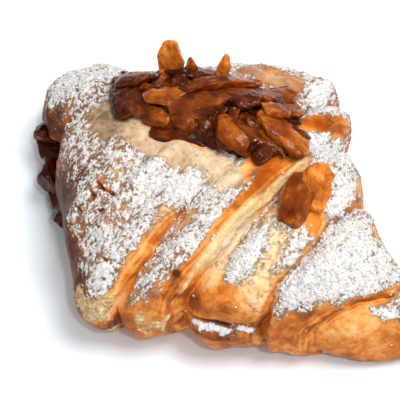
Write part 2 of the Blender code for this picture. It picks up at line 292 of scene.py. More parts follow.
# %% Put a piece in the scene
def add_piece(name, vertices, triangles, masks, material, slot, stands_for=()):
    """Put arrays of points in millimetres, triangles and point masks into a mesh in the scene."""
    mesh = bpy.data.meshes.new(name)
    mesh.vertices.add(len(vertices))
    mesh.vertices.foreach_set("co", ((vertices + SHIFT) * MM).ravel())
    mesh.loops.add(triangles.size)
    mesh.loops.foreach_set("vertex_index", triangles.ravel().astype(np.int32))
    mesh.polygons.add(len(triangles))
    mesh.polygons.foreach_set("loop_start", np.arange(len(triangles), dtype=np.int32) * 3)
    mesh.update(calc_edges=True)
    for mask, values in masks.items():
        mesh.attributes.new(mask, "FLOAT", "POINT").data.foreach_set("value", values.ravel())
    mesh.shade_smooth()
    mesh.materials.append(material)
    piece = bpy.data.objects.new(name, mesh)
    bpy.context.scene.collection.objects.link(piece)
    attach(piece, "root")
    if stands_for:
        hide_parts(*stands_for)
    print(name, len(triangles), "triangles")


# %% [markdown]
# ## The rolled dough as a surface
# Along the roll, a table gives how far the dough reaches to the near side, to the far side and
# up.  The section between them is a superellipse with a flat underside.  Each turn of the sheet
# ends in a lip, rolls over it, and falls in a small wall to the turn below, and the lips run
# across the roll at a slant.  Each turn is made as its own closed shell that dives under its
# neighbour's lip, because that is how the real sheet lies and it gives true undercut creases.

# %% Driving sizes of the dough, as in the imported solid
LEFT_TIP_LEVEL, RIGHT_TIP_LEVEL = 15.0, 9.0
LEFT_ROUNDING, RIGHT_ROUNDING = 13.0, 15.0
SECTION_POWER = 2.3
# level of the widest place as a share of the height, and how far the section dips below the base
WIDEST_LEVEL, BASE_DIP = 0.45, 4.0
# x, near half width, far half width, height
ENVELOPE = np.array((
    (-74, 12, 10, 28), (-66, 15, 12.5, 32), (-55, 21, 16, 37), (-43, 33, 20, 41),
    (-30, 45.5, 31, 45), (-17, 57, 45, 46.5), (-6, 65, 51.5, 47), (5, 63, 54, 47),
    (20, 54, 48.5, 47), (33, 46, 33, 46), (48, 36.5, 19, 43), (58, 29.5, 13, 37.5),
    (69, 21.5, 8.5, 31), (79, 14, 7.5, 25), (88, 9, 7, 21),
))
# x at the ridge, outward side, slant to the far side, bend, roll of the lip, run of the wall, step
EDGES = (
    (-44.0, -1, 7.0, -1.0, 0.8, 1.0, 4.0),
    (7.5, 1, 6.0, 2.0, 1.6, 1.0, 5.2),
    (24.0, 1, 3.5, -2.0, 0.2, 2.6, 6.2),
    (44.0, 1, 1.0, -0.5, 1.6, 0.8, 5.4),
    (69.5, 1, 7.0, -6.0, 0.8, 1.0, 4.0),
)
# on either side of an edge, the slant and bend stay those of the edge for this far
STRAIGHT_BY_EDGE = 3.0
# height, waves along x, waves round the section, phase
UNEVENNESS = (
    (0.55, 0.16, 2, 0.4), (0.45, 0.29, -3, 1.9), (0.35, 0.41, 4, 4.1), (0.25, 0.66, -5, 2.7),
)
# x, y, z, reach and height of single bulges and hollows
FORMS = (
    (-6, -63, 10, 9, 1.8), (13, -56, 9, 5, 2.0), (19, -52, 14, 4, -1.6), (30, -47, 25, 6, -2.0),
    (38, -42, 24, 6, -2.0), (33, -47, 9, 8, 1.5), (57, -29, 12, 9, 1.5), (36, 2, 44, 10, -1.2),
)
# wander of the lips: height, waves round the section, phase
WANDER = ((0.60, 7, 0.6), (0.35, 15, 2.1), (0.10, 33, 4.4))
WANDER_REACH = 3.5
WANDER_PHASE_BY_EDGE = 2.3
print("the dough is", RIGHT_TIP - LEFT_TIP, "mm long, with", len(EDGES), "lips")


# %% The envelope along the roll
def smooth_table(x, stations, values):
    """Cubic Hermite curve through the stations, with slopes from the neighbours."""
    slopes = np.gradient(values, stations)
    x = np.clip(x, stations[0], stations[-1])
    k = np.clip(np.searchsorted(stations, x) - 1, 0, len(stations) - 2)
    span = stations[k + 1] - stations[k]
    t = (x - stations[k]) / span
    start = (1 + 2 * t) * (1 - t) ** 2 * values[k] + t * (1 - t) ** 2 * span * slopes[k]
    end = t * t * (3 - 2 * t) * values[k + 1] + t * t * (t - 1) * span * slopes[k + 1]
    return start + end


def envelope(x):
    """Near half width, far half width and height of the dough at x."""
    return [smooth_table(x, ENVELOPE[:, 0], ENVELOPE[:, column]) for column in (1, 2, 3)]


def flattened(wave, power):
    """A sine or cosine raised to a power with its sign kept, which squares off a round section."""
    return np.sign(wave) * np.abs(wave) ** power


def dough_top(x, y):
    """Height of the dough's envelope over a point of the plan."""
    near, far, height = envelope(np.asarray(x, float))
    across = (y - (far - near) / 2) / ((near + far) / 2)
    rise = np.clip(1 - np.abs(across) ** SECTION_POWER, 0, None) ** (1 / SECTION_POWER)
    return height * (WIDEST_LEVEL + (1 - WIDEST_LEVEL) * rise)


print("height of the dough over its middle, mm:", dough_top(0.0, 0.0).round(1))


# %% How the turns lean
def wrap_lean(x):
    """Slant and bend of the turns at x: those of an edge close to it, blended in between."""
    knots, slants, bends = [LEFT_TIP], [0.0], [0.0]
    for ridge, _, slant, bend, *_ in EDGES:
        knots += [ridge - STRAIGHT_BY_EDGE, ridge + STRAIGHT_BY_EDGE]
        slants += [slant, slant]
        bends += [bend, bend]
    knots, slants, bends = knots + [RIGHT_TIP], slants + [0.0], bends + [0.0]
    return np.interp(x, knots, slants), np.interp(x, knots, bends)


def leant(x, angle, across):
    """The place along the roll after the slant and bend of the turns and the wander of the lips."""
    slant, bend = wrap_lean(x)
    leaning = x + slant * across + bend * across ** 2
    for number, (ridge, *_) in enumerate(EDGES):
        beside = np.exp(-((x - ridge) / WANDER_REACH) ** 2)
        for height, waves, phase in WANDER:
            wave = np.sin(waves * angle + phase + WANDER_PHASE_BY_EDGE * number)
            leaning = leaning + height * beside * wave
    return leaning


print("slant and bend by the second lip, mm:", [float(v) for v in wrap_lean(EDGES[1][0])])


# %% A point of the dough
def dough_point(x, relief, angle):
    """Superellipse section at x, leant and wandering like the lips, flat below, rounded at the tips.

    The relief is added to the half widths and the height, so it stands off the whole section.
    """
    for height, along, around, phase in UNEVENNESS:
        relief = relief + height * np.sin(along * x + around * angle + phase)
    across = flattened(np.cos(angle), 2 / SECTION_POWER)
    upward = flattened(np.sin(angle), 2 / SECTION_POWER)
    x = leant(x, angle, across)
    near, far, height = [size + relief for size in envelope(x)]
    middle = (far - near) / 2
    level = WIDEST_LEVEL * height
    y = middle + (near + far) / 2 * across
    z = level + np.where(upward > 0, height - level, level + BASE_DIP) * upward
    for tip, side, rounding, tip_level in (
        (LEFT_TIP, 1, LEFT_ROUNDING, LEFT_TIP_LEVEL),
        (RIGHT_TIP, -1, RIGHT_ROUNDING, RIGHT_TIP_LEVEL),
    ):
        inset = np.clip(1 - side * (x - tip) / rounding, 0, 1)
        share = np.sqrt(1 - inset ** 2)
        y = middle + (y - middle) * share
        z = tip_level + (z - tip_level) * share
    for form_x, form_y, form_z, reach, height in FORMS:
        squared = (x - form_x) ** 2 + (y - form_y) ** 2 + (z - form_z) ** 2
        push = height * np.exp(-squared / reach ** 2)
        y = y + push * np.cos(angle)
        z = z + push * np.sin(angle)
    return np.stack([x, y, np.maximum(z, 0)], -1)


near_side = dough_point(np.array([0.0]), 0.0, np.array([math.pi]))[0]
print("the dough at x = 0 reaches to y =", near_side[1].round(1), "mm on the near side")

# %% [markdown]
# ## The profile of each turn along the roll
# Seen along the ridge, a turn rises from under the lip above it, runs level, rolls over its own
# lip and falls in a wall.  A few marks say where that line bends.  They are given from the edge
# outwards: a distance, and a relief that is nought on the dough's envelope and negative below it.

# %% Profiles of lips, feet and tips
TIP_START, TIP_ROWS = 0.06, 16


def from_edge(edge, marks):
    """Turn distances outwards from an edge into places along the ridge."""
    ridge, side = edge[:2]
    return [(ridge + side * distance, relief) for distance, relief in marks]


def lip_profile(edge):
    """Marks where a turn rolls over its lip, falls down its wall and dives under the next turn."""
    roll, run, step = edge[4:]
    wall = step - roll
    return from_edge(edge, (
        (-7, 0), (-4.2, -0.08 * roll), (-2.4, -0.3 * roll), (-1.1, -0.62 * roll), (-0.3, -roll),
        (0.3 * run, -roll - 0.30 * wall), (0.75 * run, -roll - 0.85 * wall),
        (run + 0.1, -step - 0.9), (run - 0.6, -step - 3.0), (run - 3.5, -step - 6.0),
    ))


def foot_profile(edge):
    """Marks where a turn comes out from under the lip above it and rises to the envelope."""
    run, step = edge[5:]
    return from_edge(edge, (
        (-4, -step - 5), (-1.5, -step - 2.2), (0.5 * run, -step - 0.5), (run + 0.5, -step * 0.96),
        (run + 1.4, -step * 0.78), (run + 2.6, -step * 0.52), (run + 4.4, -step * 0.26),
        (run + 6.4, -step * 0.09), (run + 8.2, 0),
    ))


def tip_profile(tip, side, rounding, last_turn=math.pi / 2):
    """Rows that close a tip: a quarter circle's rows, packed where the section shrinks fastest."""
    turns = np.linspace(TIP_START, last_turn, TIP_ROWS)
    return [(tip + side * rounding * (1 - math.cos(turn)), 0.0) for turn in turns]


print("marks of the first lip, mm:", [(round(x, 1), round(r, 1)) for x, r in lip_profile(EDGES[0])])

# %% Rows along a profile and columns round the section
ROW_SPACING, LEAST_ROWS = 0.42, 8
FINE_SPACING, ROUNDING_SAMPLES = 0.06, 9
# half width and half height of the section that the columns are spaced for
SECTION_REACH = (58.0, 25.0)
# where the angle's sine is lower than this, the columns are sparse
UNDERSIDE_BELOW, UNDERSIDE_SHARE = -0.55, 0.22
ANGLE_SAMPLES = 4001


def profile_rows(marks):
    """Resample a profile at equal spacing, after a moving mean has rounded its corners a little."""
    marks = np.array(marks)
    walk = np.concatenate([[0], np.cumsum(np.hypot(*np.diff(marks, axis=0).T))])
    fine = np.arange(0, walk[-1], FINE_SPACING)
    places = np.linspace(0, fine[-1], max(int(walk[-1] / ROW_SPACING), LEAST_ROWS))
    rows = []
    for values in marks.T:
        padded = np.pad(np.interp(fine, walk, values), ROUNDING_SAMPLES // 2, mode="edge")
        rounded = np.convolve(padded, np.ones(ROUNDING_SAMPLES) / ROUNDING_SAMPLES, mode="valid")
        rows.append(np.interp(places, fine, rounded))
    return rows


def section_angles(columns):
    """Angles round the section with even spacing on the top and sides and a sparser underside."""
    angle = np.linspace(-math.pi / 2, 1.5 * math.pi, ANGLE_SAMPLES)
    speed = np.hypot(SECTION_REACH[0] * np.sin(angle), SECTION_REACH[1] * np.cos(angle))
    speed *= np.where(np.sin(angle) < UNDERSIDE_BELOW, UNDERSIDE_SHARE, 1.0)
    walked = np.concatenate([[0], np.cumsum((speed[1:] + speed[:-1]) / 2)])
    return np.interp(np.arange(columns) / columns * walked[-1], walked, angle)


print("rows along the first lip:", len(profile_rows(lip_profile(EDGES[0]))[0]))

# %% [markdown]
# ## Where sugar, browning, glaze and juice lie
# Sugar falls from above, so it lies thick where the crust faces up and slides off steep sides.
# On top of that rule come single patches that the real croissant shows, and on the left, patches
# of painted shade that thin the sugar where that side faces away from the main light.  Each patch
# is a soft ellipsoid in space: its middle, its reach along X, Y and Z, and how much it adds.
# Patches are rows of a table, because that is easy to adjust while looking at a render.

# %% Patches of sugar
# x, y, z, reaches along X, Y and Z, amount
SUGAR_PATCHES = (
    # the left arm
    # several of these thin the sugar as painted shade: in the valley by the middle turn and low on the
    # left
    (-62, -8, 34, 9, 12, 10, 0.10), (-54, 6, 36, 9, 12, 9, 0.12),
    (-49.5, -6, 38.5, 2.6, 9, 6, -0.12), (-58, -16, 24, 9, 5, 7, -0.45),
    (-51, -13, 34.5, 4, 4, 5, -0.12), (-56, -14, 31.5, 3, 3, 4, -0.15),
    # the middle turn
    # the negative patches on the left of this turn are partly painted shade over its real brown crust
    (-26, -32, 43, 16, 15, 12, -0.18), (-8, -46, 40, 10, 12, 10, -0.04),
    (-20, -46, 36, 9, 8, 8, -0.10), (3, -19, 46, 6, 9, 6, 0.40), (-10, -25, 46, 12, 6, 8, 0.25),
    (-14, -54, 31, 12, 8, 9, 0.08), (-4, -60, 27, 7, 6, 9, 0.05), (-26, -50, 24, 9, 9, 8, -0.38),
    (-36, -38, 28, 7, 8, 8, -0.18), (-24, -51, 26, 8, 9, 7, -0.12), (-30, -34, 40, 8, 12, 9, 0.02),
    (-16, -50, 34, 7, 7, 7, 0.04), (-35, -40, 27, 9, 6, 7, -0.22), (-17, -55, 27, 6, 5, 6, -0.22),
    (-9, -61, 28, 5, 5, 5, -0.35), (-18.5, -24, 45.8, 3, 4, 4, -0.10),
    (-6, 34, 42, 15, 7, 6, -0.30), (-1, 36, 41, 15, 8, 6, -0.28), (9, 34, 41, 5, 6, 5, -0.20),
    (13, 38, 38, 5, 9, 8, 0.75), (-1.3, -58.8, 35, 3, 3, 4, 0.25), (2, -32, 44.5, 2.5, 3, 4, -0.50),
    (4, -44, 40, 1.9, 9, 7, -0.75), (3.6, -60, 24, 4, 4, 6, -0.90), (-2, -64, 20, 6, 5, 5, -0.50),
    # the second turn
    (4, -54, 34, 2.4, 8, 8, -1.00), (8.5, -26, 42, 2.4, 9, 5, -0.45),
    (17, -30, 45, 3.5, 13, 6, 0.20), (11, -42, 40, 3, 8, 6, 0.02), (14, -50, 35, 4, 6, 8, -0.05),
    (20, 1, 47, 4.4, 8, 4, -1.90), (24, 6, 46, 3, 7, 4, -0.90), (16.5, -2.5, 47, 3.4, 4.5, 4, -1.1),
    (18, -50, 34, 2.2, 8, 8, -0.40), (17, -45, 39, 1.3, 1.3, 1.3, -1.5),
    (13, -57, 22, 8, 5, 8, -0.60), (16, -51, 33, 4, 4, 4, -0.15), (24, 20, 43.5, 4, 3, 4, 0.6),
    # the third turn
    (27, 22, 38, 4.5, 5, 6, 0.75), (27, 29, 32.5, 3.5, 6, 3.5, 0.7), (26.5, 36, 28, 4, 4, 5, 0.4),
    (28.6, 19.5, 38, 5, 5, 5, 0.50), (31, -27, 43, 3.6, 6.5, 5, 1.25),
    (31, -34, 41, 2.4, 4, 4, 0.80), (36, -18, 43, 6, 13, 6, -0.22),
    (26.5, -30, 41, 2.2, 12, 6, -0.30), (31, -40, 33, 9, 6, 6, -0.95),
    (24, -42, 32, 4, 6, 8, -0.80), (40, -31, 36, 5, 5, 6, -0.60), (37, -24, 43, 4, 5, 5, -0.45),
    (42, -4, 44, 4, 3.5, 4, -0.90), (44, 4, 43, 4, 9, 6, 0.35), (34, -47, 17, 9, 4, 2.2, -1.0),
    (39, 17, 40, 5, 7, 5, 0.35), (28, -11, 45, 2.6, 8, 5, -0.40),
    # the fourth turn and the right tip
    (46, -12, 38, 2.4, 8, 4, -0.20), (51, -20, 39, 8, 10, 8, 0.48), (60, -8, 37, 9, 10, 9, 0.45),
    (57, -29, 22, 14, 7, 8, -1.05), (48, -28, 34, 5, 6, 5, 0.20), (66, -15, 26, 4, 4, 4, -1.00),
    (70, -5, 28, 4, 4, 3, -0.60), (74, -17, 17, 10, 7, 7, -1.10), (76, -13, 22, 4, 4, 3, -0.55),
    (64, -20, 23, 5, 5, 6, -0.9),
)


def patches(points, table):
    """Sum of soft ellipsoids: amount times exp of minus the squared distance in reaches."""
    total = np.zeros(points.shape[:-1])
    for row in table:
        offset = (points - np.array(row[:3])) / np.array(row[3:6])
        total += row[6] * np.exp(-(offset ** 2).sum(-1))
    return total


print("sugar patches:", len(SUGAR_PATCHES))

# %% [markdown]
# ## Patches of browning
# Edges, low parts and thin lips bake darkest, and what lay under the sheet above stays pale.  The
# patches add to a base level of browning or take from it.  Some patches on the left are painted
# shade: they darken the side that faces away from the main light, over its real brown crust.

# %% Patches of browning
# x, y, z, reaches along X, Y and Z, amount
BAKE_PATCHES = (
    # the left arm
    # several of these darken the left arm as painted shade, in the valley and low on the left
    (-54, -4, 37, 9, 14, 8, 0.10), (-58, -16, 25, 8, 6, 7, 0.40), (-49.5, -6, 38.5, 5, 9, 6, 0.16),
    (-58, 0, 36, 10, 14, 9, 0.12),
    # the middle turn
    # the darkening patches on the left of this turn, x from -36 to -9, are partly painted shade
    (3, -62, 15, 6, 5, 5, 0.30), (3.6, -60, 26, 3, 5, 6, -0.34), (4, -49, 38, 3, 12, 9, -0.10),
    (-26, -50, 24, 9, 9, 8, 0.38), (-36, -38, 28, 7, 8, 8, 0.20), (-31, -36, 37, 9, 16, 12, 0.20),
    (-17, -54, 28, 7, 6, 7, 0.40), (-9, -61, 28, 6, 5, 5, 0.30), (-33, -41, 26, 9, 8, 6, 0.25),
    (-28, -36, 40, 9, 13, 9, 0.20), (-36, -11, 43, 8, 8, 6, 0.58), (-14, -48, 37, 9, 9, 8, 0.14),
    (2, -32, 44.5, 3, 4, 4, -0.20), (-18.5, -24, 45.8, 4, 4, 4, 0.05), (-2, 35, 42, 16, 7, 6, 0.26),
    (-20, -15, 46, 8, 4, 4, -0.10),
    # the second turn
    (19.5, 0, 47, 5.0, 8, 4, 0.24), (20, -10, 47, 2.6, 8, 4, 0.16), (22, 28.5, 42, 4, 5, 7, 0.20),
    (5, -59, 22, 4, 5, 6, 0.10), (17, -45, 39, 1.0, 1.0, 1.0, 1.2), (8.5, -58.5, 27, 2, 4, 6, 0.30),
    (16, -47, 37, 3, 7, 7, 0.16), (12, -52, 32, 4, 6, 7, 0.20), (12, -14, 46, 6, 8, 5, -0.20),
    (8, -5, 45, 6, 5, 4, -0.15),
    # the third turn
    (31, -38, 36, 4, 4, 5, 0.16), (24, -38, 37, 3, 6, 6, -0.30), (23.9, -24, 42, 2.6, 12, 7, -0.25),
    (19.5, -48, 33, 3, 6, 6, 0.08), (27, -34, 39, 4, 9, 6, -0.22), (30, -48, 19, 9, 4, 3, 0.15),
    (30, -18, 43, 4, 10, 5, -0.15), (24, -45, 29, 4, 5, 5, 0.30), (34, -46, 18.5, 10, 5, 3.5, 0.24),
    (41, -42, 20, 4, 4, 4, 0.15), (40, -35, 34, 5, 5, 6, -0.30), (33, -41, 31, 4, 3, 4, 0.12),
    (36, -18, 43, 8, 13, 6, -0.42), (37, -28, 40, 7, 8, 6, -0.18), (31, -30, 41, 6, 6, 5, -0.30),
    (28.6, 19.9, 38, 4, 6, 6, -0.30),
    # the fourth turn and the right tip
    (51, -32, 26, 7, 5, 6, 0.10), (60, -27, 18, 6, 6, 7, -0.05), (66, -19, 24, 5, 5, 5, -0.25),
    (54, -28, 32, 7, 3.5, 3.5, 0.25), (70, -14, 24, 8, 4, 5, -0.10), (48, -6, 41, 6, 12, 6, -0.15),
    (60, -12, 36, 10, 10, 6, -0.15), (67.5, -13.5, 28, 5, 5, 3, 0.15),
)
print("browning patches:", len(BAKE_PATCHES))

# %% [markdown]
# ## Patches of glaze, juice and torn dough
# Round the heap, the crust is bare and wears a cream glaze.  Juice ran out of the apple and
# stained the crust beside it.  At the near corners, the crust broke off and the pale dough shows.

# %% Patches of glaze, juice and torn dough
# x, y, z, reaches along X, Y and Z, amount
GLAZE_PATCHES = (
    (-38, -12, 42, 9, 9, 7, 1.0), (-30, -13, 44, 8, 6, 6, 1.0), (-20, -14, 46, 9, 4.6, 6, 1.1),
    (-9, -13, 47, 9, 6.0, 6, 1.1), (4, -9, 46, 8, 7, 6, 0.9), (12, -11, 46, 5, 8, 5, 0.7),
    (-24, 22, 42, 14, 6, 6, 0.7), (-3, 34.5, 42, 13, 6, 6, 0.72), (30, 14, 43, 5, 6, 5, 0.6),
    (33, -9, 43.5, 4.0, 6, 4, 0.7), (-54, -9, 36, 4, 7, 4, 0.45), (23.9, -25, 41, 2.2, 13, 7, 1.1),
)
# the same for the juice
JUICE_PATCHES = (
    (42, -6.0, 43.5, 5.6, 5.0, 4.5, 1.1), (30, -5, 45, 2.0, 5, 4, 0.5), (12, 2, 46, 9, 4.0, 4, 0.8),
    (-20, -10, 46, 9, 2.0, 4, 0.6), (-38, -5, 42, 5, 4, 5, 0.8), (-4, -7, 47, 8, 2.4, 4, 0.6),
    (15, 1, 46, 3, 3, 4, 0.5), (20.5, -1, 47, 3.4, 7, 4, 0.9), (20.5, -12, 47, 1.6, 8, 4, 0.6),
    (21.5, 28, 42, 4.0, 3.4, 4, 0.9), (25.5, 34, 38, 2.5, 3, 3, 0.9),
    (18, 24, 44.5, 2.6, 3.0, 3, 0.8), (31, -39.6, 35.0, 3.0, 2.4, 2.6, 0.75),
)
# the same for the torn dough
PALE_PATCHES = (
    (-7, -64, 24.5, 6, 4, 5, 1.0), (0, -64, 24, 4.5, 4, 4.5, 0.9), (-3, -66, 17, 4, 4, 6, 0.5),
    (2.2, -61, 29.5, 2.6, 3, 3.5, 0.8), (12.5, -58, 25, 2.2, 4, 6, 0.7),
    (17, -55.5, 22, 2.6, 3.5, 4, 0.6), (14, -59, 16, 3, 4, 5, 0.5), (4, -61, 12.5, 2, 3, 2, 0.8),
)
print("glaze, juice, torn:", len(GLAZE_PATCHES), len(JUICE_PATCHES), len(PALE_PATCHES))

# %% [markdown]
# ## Lines on the crust
# Some marks are long and thin: a clean strip along a lip, a streak of sugar in a fold, the broad
# folds of the middle turn and the rolled rim of the third.  A line through a few corners gives
# each, and the distance from that line fades it out.

# %% Lines on the crust
# corners, half width, amount of sugar, amount of browning
CRUST_LINES = (
    (((21, -5, 47.3), (20.6, -11.6, 47.7), (20.0, -18, 47.5), (19.4, -28, 46)), 1.5, -1.1, 0.12),
    (((19.4, -28, 46), (19.6, -36, 43.2), (18.7, -41, 41), (17.3, -46, 38), (16.8, -51, 33.6)),
     1.0, -0.9, 0.14),
    (((17, -3, 47), (18, -7, 47.4), (19, -11, 47.8)), 1.2, 0.5, 0.0),
    (((24.5, -48.5, 22.0), (28, -47.5, 21.3), (32.2, -45.3, 20.9), (36, -43.4, 20.8)),
     0.8, 1.9, 0.0),
    (((38.4, -40.8, 21.7), (42.4, -38.2, 21.0)), 0.7, 1.5, 0.0),
    (((21.3, -47.6, 23.4), (24, -47.3, 23.2), (29.3, -45.5, 22.8), (35.3, -42.5, 22.4)),
     0.6, -1.0, 0.5),
    (((68, -13, 26.5), (71, -12.5, 26.2), (75, -9.5, 26)), 1.2, 0.8, -0.1),
    (((66, -15.5, 27), (68, -11, 27.6), (71, -5.5, 27.6)), 1.4, -0.9, -0.1),
    (((17, 22, 44.9), (19.6, 26.0, 43.2), (22.2, 29.6, 41), (25, 34, 38), (26.5, 36, 34)),
     3.0, -1.7, 0.20),
)
# the broad folds of the middle turn: corners, half width, height
FOLDS = (
    (((-9, -15, 47.5), (-10.6, -27.8, 46), (-11.5, -38, 43.1), (-13.2, -45.3, 39)), 1.9, 2.1),
    (((-4, -16, 47.3), (-5.8, -28.8, 45.9), (-6.5, -39, 43.4), (-7.6, -47, 40.6)), 1.8, -1.9),
    (((2, -15, 46.5), (1.5, -27, 45.5), (0, -38, 43.5), (-1.5, -48, 40.5)), 2.0, 0.9),
    (((-15, -22, 46.2), (-16, -32, 44.4), (-17, -42, 41), (-18, -50, 36)), 1.9, -1.9),
    (((-22, -20, 45.6), (-23, -32, 43.4), (-24, -42, 39), (-24, -48, 34)), 2.2, 1.6),
    (((-31, -20, 43.5), (-32, -30, 41), (-32, -38, 37)), 1.8, -1.1),
)
# the rolled rim low on the third turn and the shelf above it: corners, height and half width
CURL = ((22, -50.5, 20.5), (28, -48.8, 19.2), (34, -46, 18.2), (40, -42, 18.6), (45, -38, 20.5))
CURL_SHELF = (
    (21, -48, 23.6), (24, -47.5, 23.0), (29.3, -45.5, 22.6), (35.3, -42.5, 22.4), (40, -39.5, 23),
    (44, -37, 24),
)
CURL_HEIGHT, CURL_WIDTH = 1.8, 2.2
SHELF_DEPTH, SHELF_WIDTH = 1.0, 0.8
print("lines:", len(CRUST_LINES), "folds:", len(FOLDS))


# %% Distance from a line
def along_segment(points, start, end):
    """Share of the way along a segment of the nearest point on it, and the distance to that."""
    start, line = np.array(start, float), np.array(end, float) - np.array(start, float)
    t = np.clip(((points - start) @ line) / (line @ line), 0, 1)
    return t, np.linalg.norm(points - start - t[..., None] * line, axis=-1)


def gap_to_line(points, corners):
    """Distance from a line through the corners: the least distance from any of its segments."""
    near = np.full(points.shape[:-1], np.inf)
    for start, end in zip(corners, corners[1:]):
        near = np.minimum(near, along_segment(points, start, end)[1])
    return near


def beside_line(points, corners, width):
    """Exp of minus the squared distance in widths from a line through the corners."""
    return np.exp(-(gap_to_line(points, corners) / width) ** 2)


spot = np.array([[0.0, 3.0, 0.0]])
print("from a line along X, the point is", gap_to_line(spot, ((-5, 0, 0), (5, 0, 0)))[0], "mm away")

# %% [markdown]
# ## The pale ribbon beside the second turn's lip
# That lip tore open along nearly its whole length, and the inner dough shows there as a pale
# ribbon.  It is a line through the middle of the ribbon with a half width that changes
# from the far to the near side, and grain that frays its borders.

# %% The pale ribbon
RIBBON = (
    (26.0, 11, 45.0), (25.6, 7, 45.3), (25.2, 2, 45.5), (24.6, -2, 45.2), (24.1, -6.5, 45.2),
    (23.3, -11, 46.2), (22.5, -15, 46.9), (22.1, -18.5, 46.7), (22.0, -21.5, 45.9), (21.8, -25, 45.2),
    (21.8, -29, 45.2), (21.7, -33, 44.1), (21.4, -36, 43), (20.9, -38.3, 40.8), (20.6, -41, 39.2),
    (20, -43.7, 37), (19.7, -46.2, 35.2), (19.3, -48.4, 32.8), (19.1, -50.3, 30.2),
    (19.1, -52.4, 28), (18.3, -54.4, 24), (17.6, -55, 20),
)
RIBBON_SHIFT, RIBBON_SQUASH = (1.2, 0.0, 0.0), 0.5
# y, half width
RIBBON_WIDTHS = np.array((
    (-53, 0.9), (-46, 1.3), (-38, 1.9), (-28, 2.1), (-18, 1.9), (-10, 1.65), (2, 1.9), (8, 2.0),
    (11, 1.6),
))
RIBBON_FRAY, RIBBON_FRAY_CELL, RIBBON_FRAY_SEED, RIBBON_SOFTNESS = 0.35, 2.2, 81, 0.35


def ribbon_share(points):
    """1 within the half width of the ribbon's line, measured with Z squashed, and 0 outside."""
    half_width = np.interp(points[..., 1], RIBBON_WIDTHS[:, 0], RIBBON_WIDTHS[:, 1])
    half_width = half_width + RIBBON_FRAY * grain(points, RIBBON_FRAY_CELL, RIBBON_FRAY_SEED)
    squashed = np.array([1, 1, RIBBON_SQUASH])
    gap = gap_to_line((points - np.array(RIBBON_SHIFT)) * squashed, np.array(RIBBON) * squashed)
    return step_up(RIBBON_SOFTNESS, -RIBBON_SOFTNESS, gap - half_width)


print("the ribbon is up to", 2 * RIBBON_WIDTHS[:, 1].max(), "mm wide")

# %% [markdown]
# ## Creases and laminations
# Sugar that took up moisture dries into lumps with thin creases between them.  The absolute
# value of a grain has just that form: it is zero along wandering lines.  The baked layers of
# the dough show as fine stripes beside a lip, which a sine of the distance from it gives.

# %% Creases and laminations
CRINKLE_STRETCH = np.array([1.0, 0.50, 0.60])
CRINKLE_WANDER, CRINKLE_WANDER_CELL, CRINKLE_WANDER_SEEDS = 0.9, 2.5, (71, 72, 73)
CRINKLE_GAIN = 2.2
# cell, share of the height, strength of the creases, seed
CRINKLES = ((1.25, 0.62, 1.0, 74), (0.62, 0.38, 0.55, 75))
CREASE_WIDTH = 0.22
# cell, seed, and the values between which the grain lets creases begin and show fully
CREASED_AREAS = (6.0, 76, -0.6, 0.3)
CREASE_BREAKS = (1.1, 77, -0.25, 0.30)
LAMINATION_WAVES, LAMINATION_REACH = 4.2, 2.0
LAMINATION_WANDER, LAMINATION_CELL, LAMINATION_SEED = 2.2, 7.0, 15


def crinkle_of(points):
    """Height of the lumps, from the absolute value of two grains, and the creases where it is low.

    Both grains are drawn out down the slope, and their borders wander.
    """
    wander = [grain(points, CRINKLE_WANDER_CELL, seed) for seed in CRINKLE_WANDER_SEEDS]
    wander = np.stack(wander, -1)
    wavy = (points + CRINKLE_WANDER * wander) * CRINKLE_STRETCH
    height, crease = 0.0, 0.0
    for cell, share, strength, seed in CRINKLES:
        lump = np.abs(grain(wavy, cell, seed)) * CRINKLE_GAIN
        height = height + share * np.minimum(lump, 1)
        crease = np.maximum(crease, strength * np.exp(-(lump / CREASE_WIDTH) ** 2))
    for place, (cell, seed, low, high) in ((points, CREASED_AREAS), (wavy, CREASE_BREAKS)):
        crease = crease * step_up(low, high, grain(place, cell, seed))
    return height, crease


def laminations_of(points, edge_gap):
    """Fine stripes that run along the nearest lip and fade away from it."""
    wander = LAMINATION_WANDER * grain(points, LAMINATION_CELL, LAMINATION_SEED)
    return np.sin(edge_gap * LAMINATION_WAVES + wander) * np.exp(-edge_gap / LAMINATION_REACH)


print("a crease is where a grain's value is under", round(CREASE_WIDTH / CRINKLE_GAIN, 2))

# %% [markdown]
# ## The masks of the crust
# Each mask adds its patches to grains of several sizes, so that no border is smooth.  Sugar also
# follows the slope, and gives way to glaze, juice and torn dough.  The left side faces away from
# the main light and gets painted shade: its crust is darkened and its sugar thinned, but a least
# dust lies there too, in patches.

# %% Weights of the masks
# cell and seed of the broad, middle and fine grain
GRAIN_SIZES = ((9.0, 3), (3.2, 5), (1.1, 7))
# where a mask begins and where it is full, and the weights of the middle and the fine grain
TORN_EDGE, GLAZE_EDGE = (0.40, 0.70, 0.42, 0.30), (0.25, 0.95, 0.36, 0.16)
JUICE_EDGE = (0.38, 0.75, 0.22, 0.0)
# sugar that stays on steep crust, what a level top adds, and the slope that counts as level
STEEP_SUGAR, LEVEL_SUGAR, LEVEL_SLOPE = 0.14, 0.56, 0.80
# weights of the broad, middle and fine grain, then of the lumps about their mean
SUGAR_GRAIN, LUMP_SUGAR, MEAN_LUMP = (0.12, 0.18, 0.18), 0.40, 0.55
# how much sugar the painted shade of the left side, glaze, juice, the ribbon, torn dough and
# creases take away
SUGAR_LOSS = (0.11, 0.62, 0.8, 1.2, 0.6, 0.30)
# the way that the side with painted shade faces, how squarely, and where along X it ends
PAINTED_SHADE_SIDE, PAINTED_SHADE_FACING, PAINTED_SHADE_PLACE = np.array([-0.8, -0.6, 0.0]), (0.45, 0.95), (8, -8)
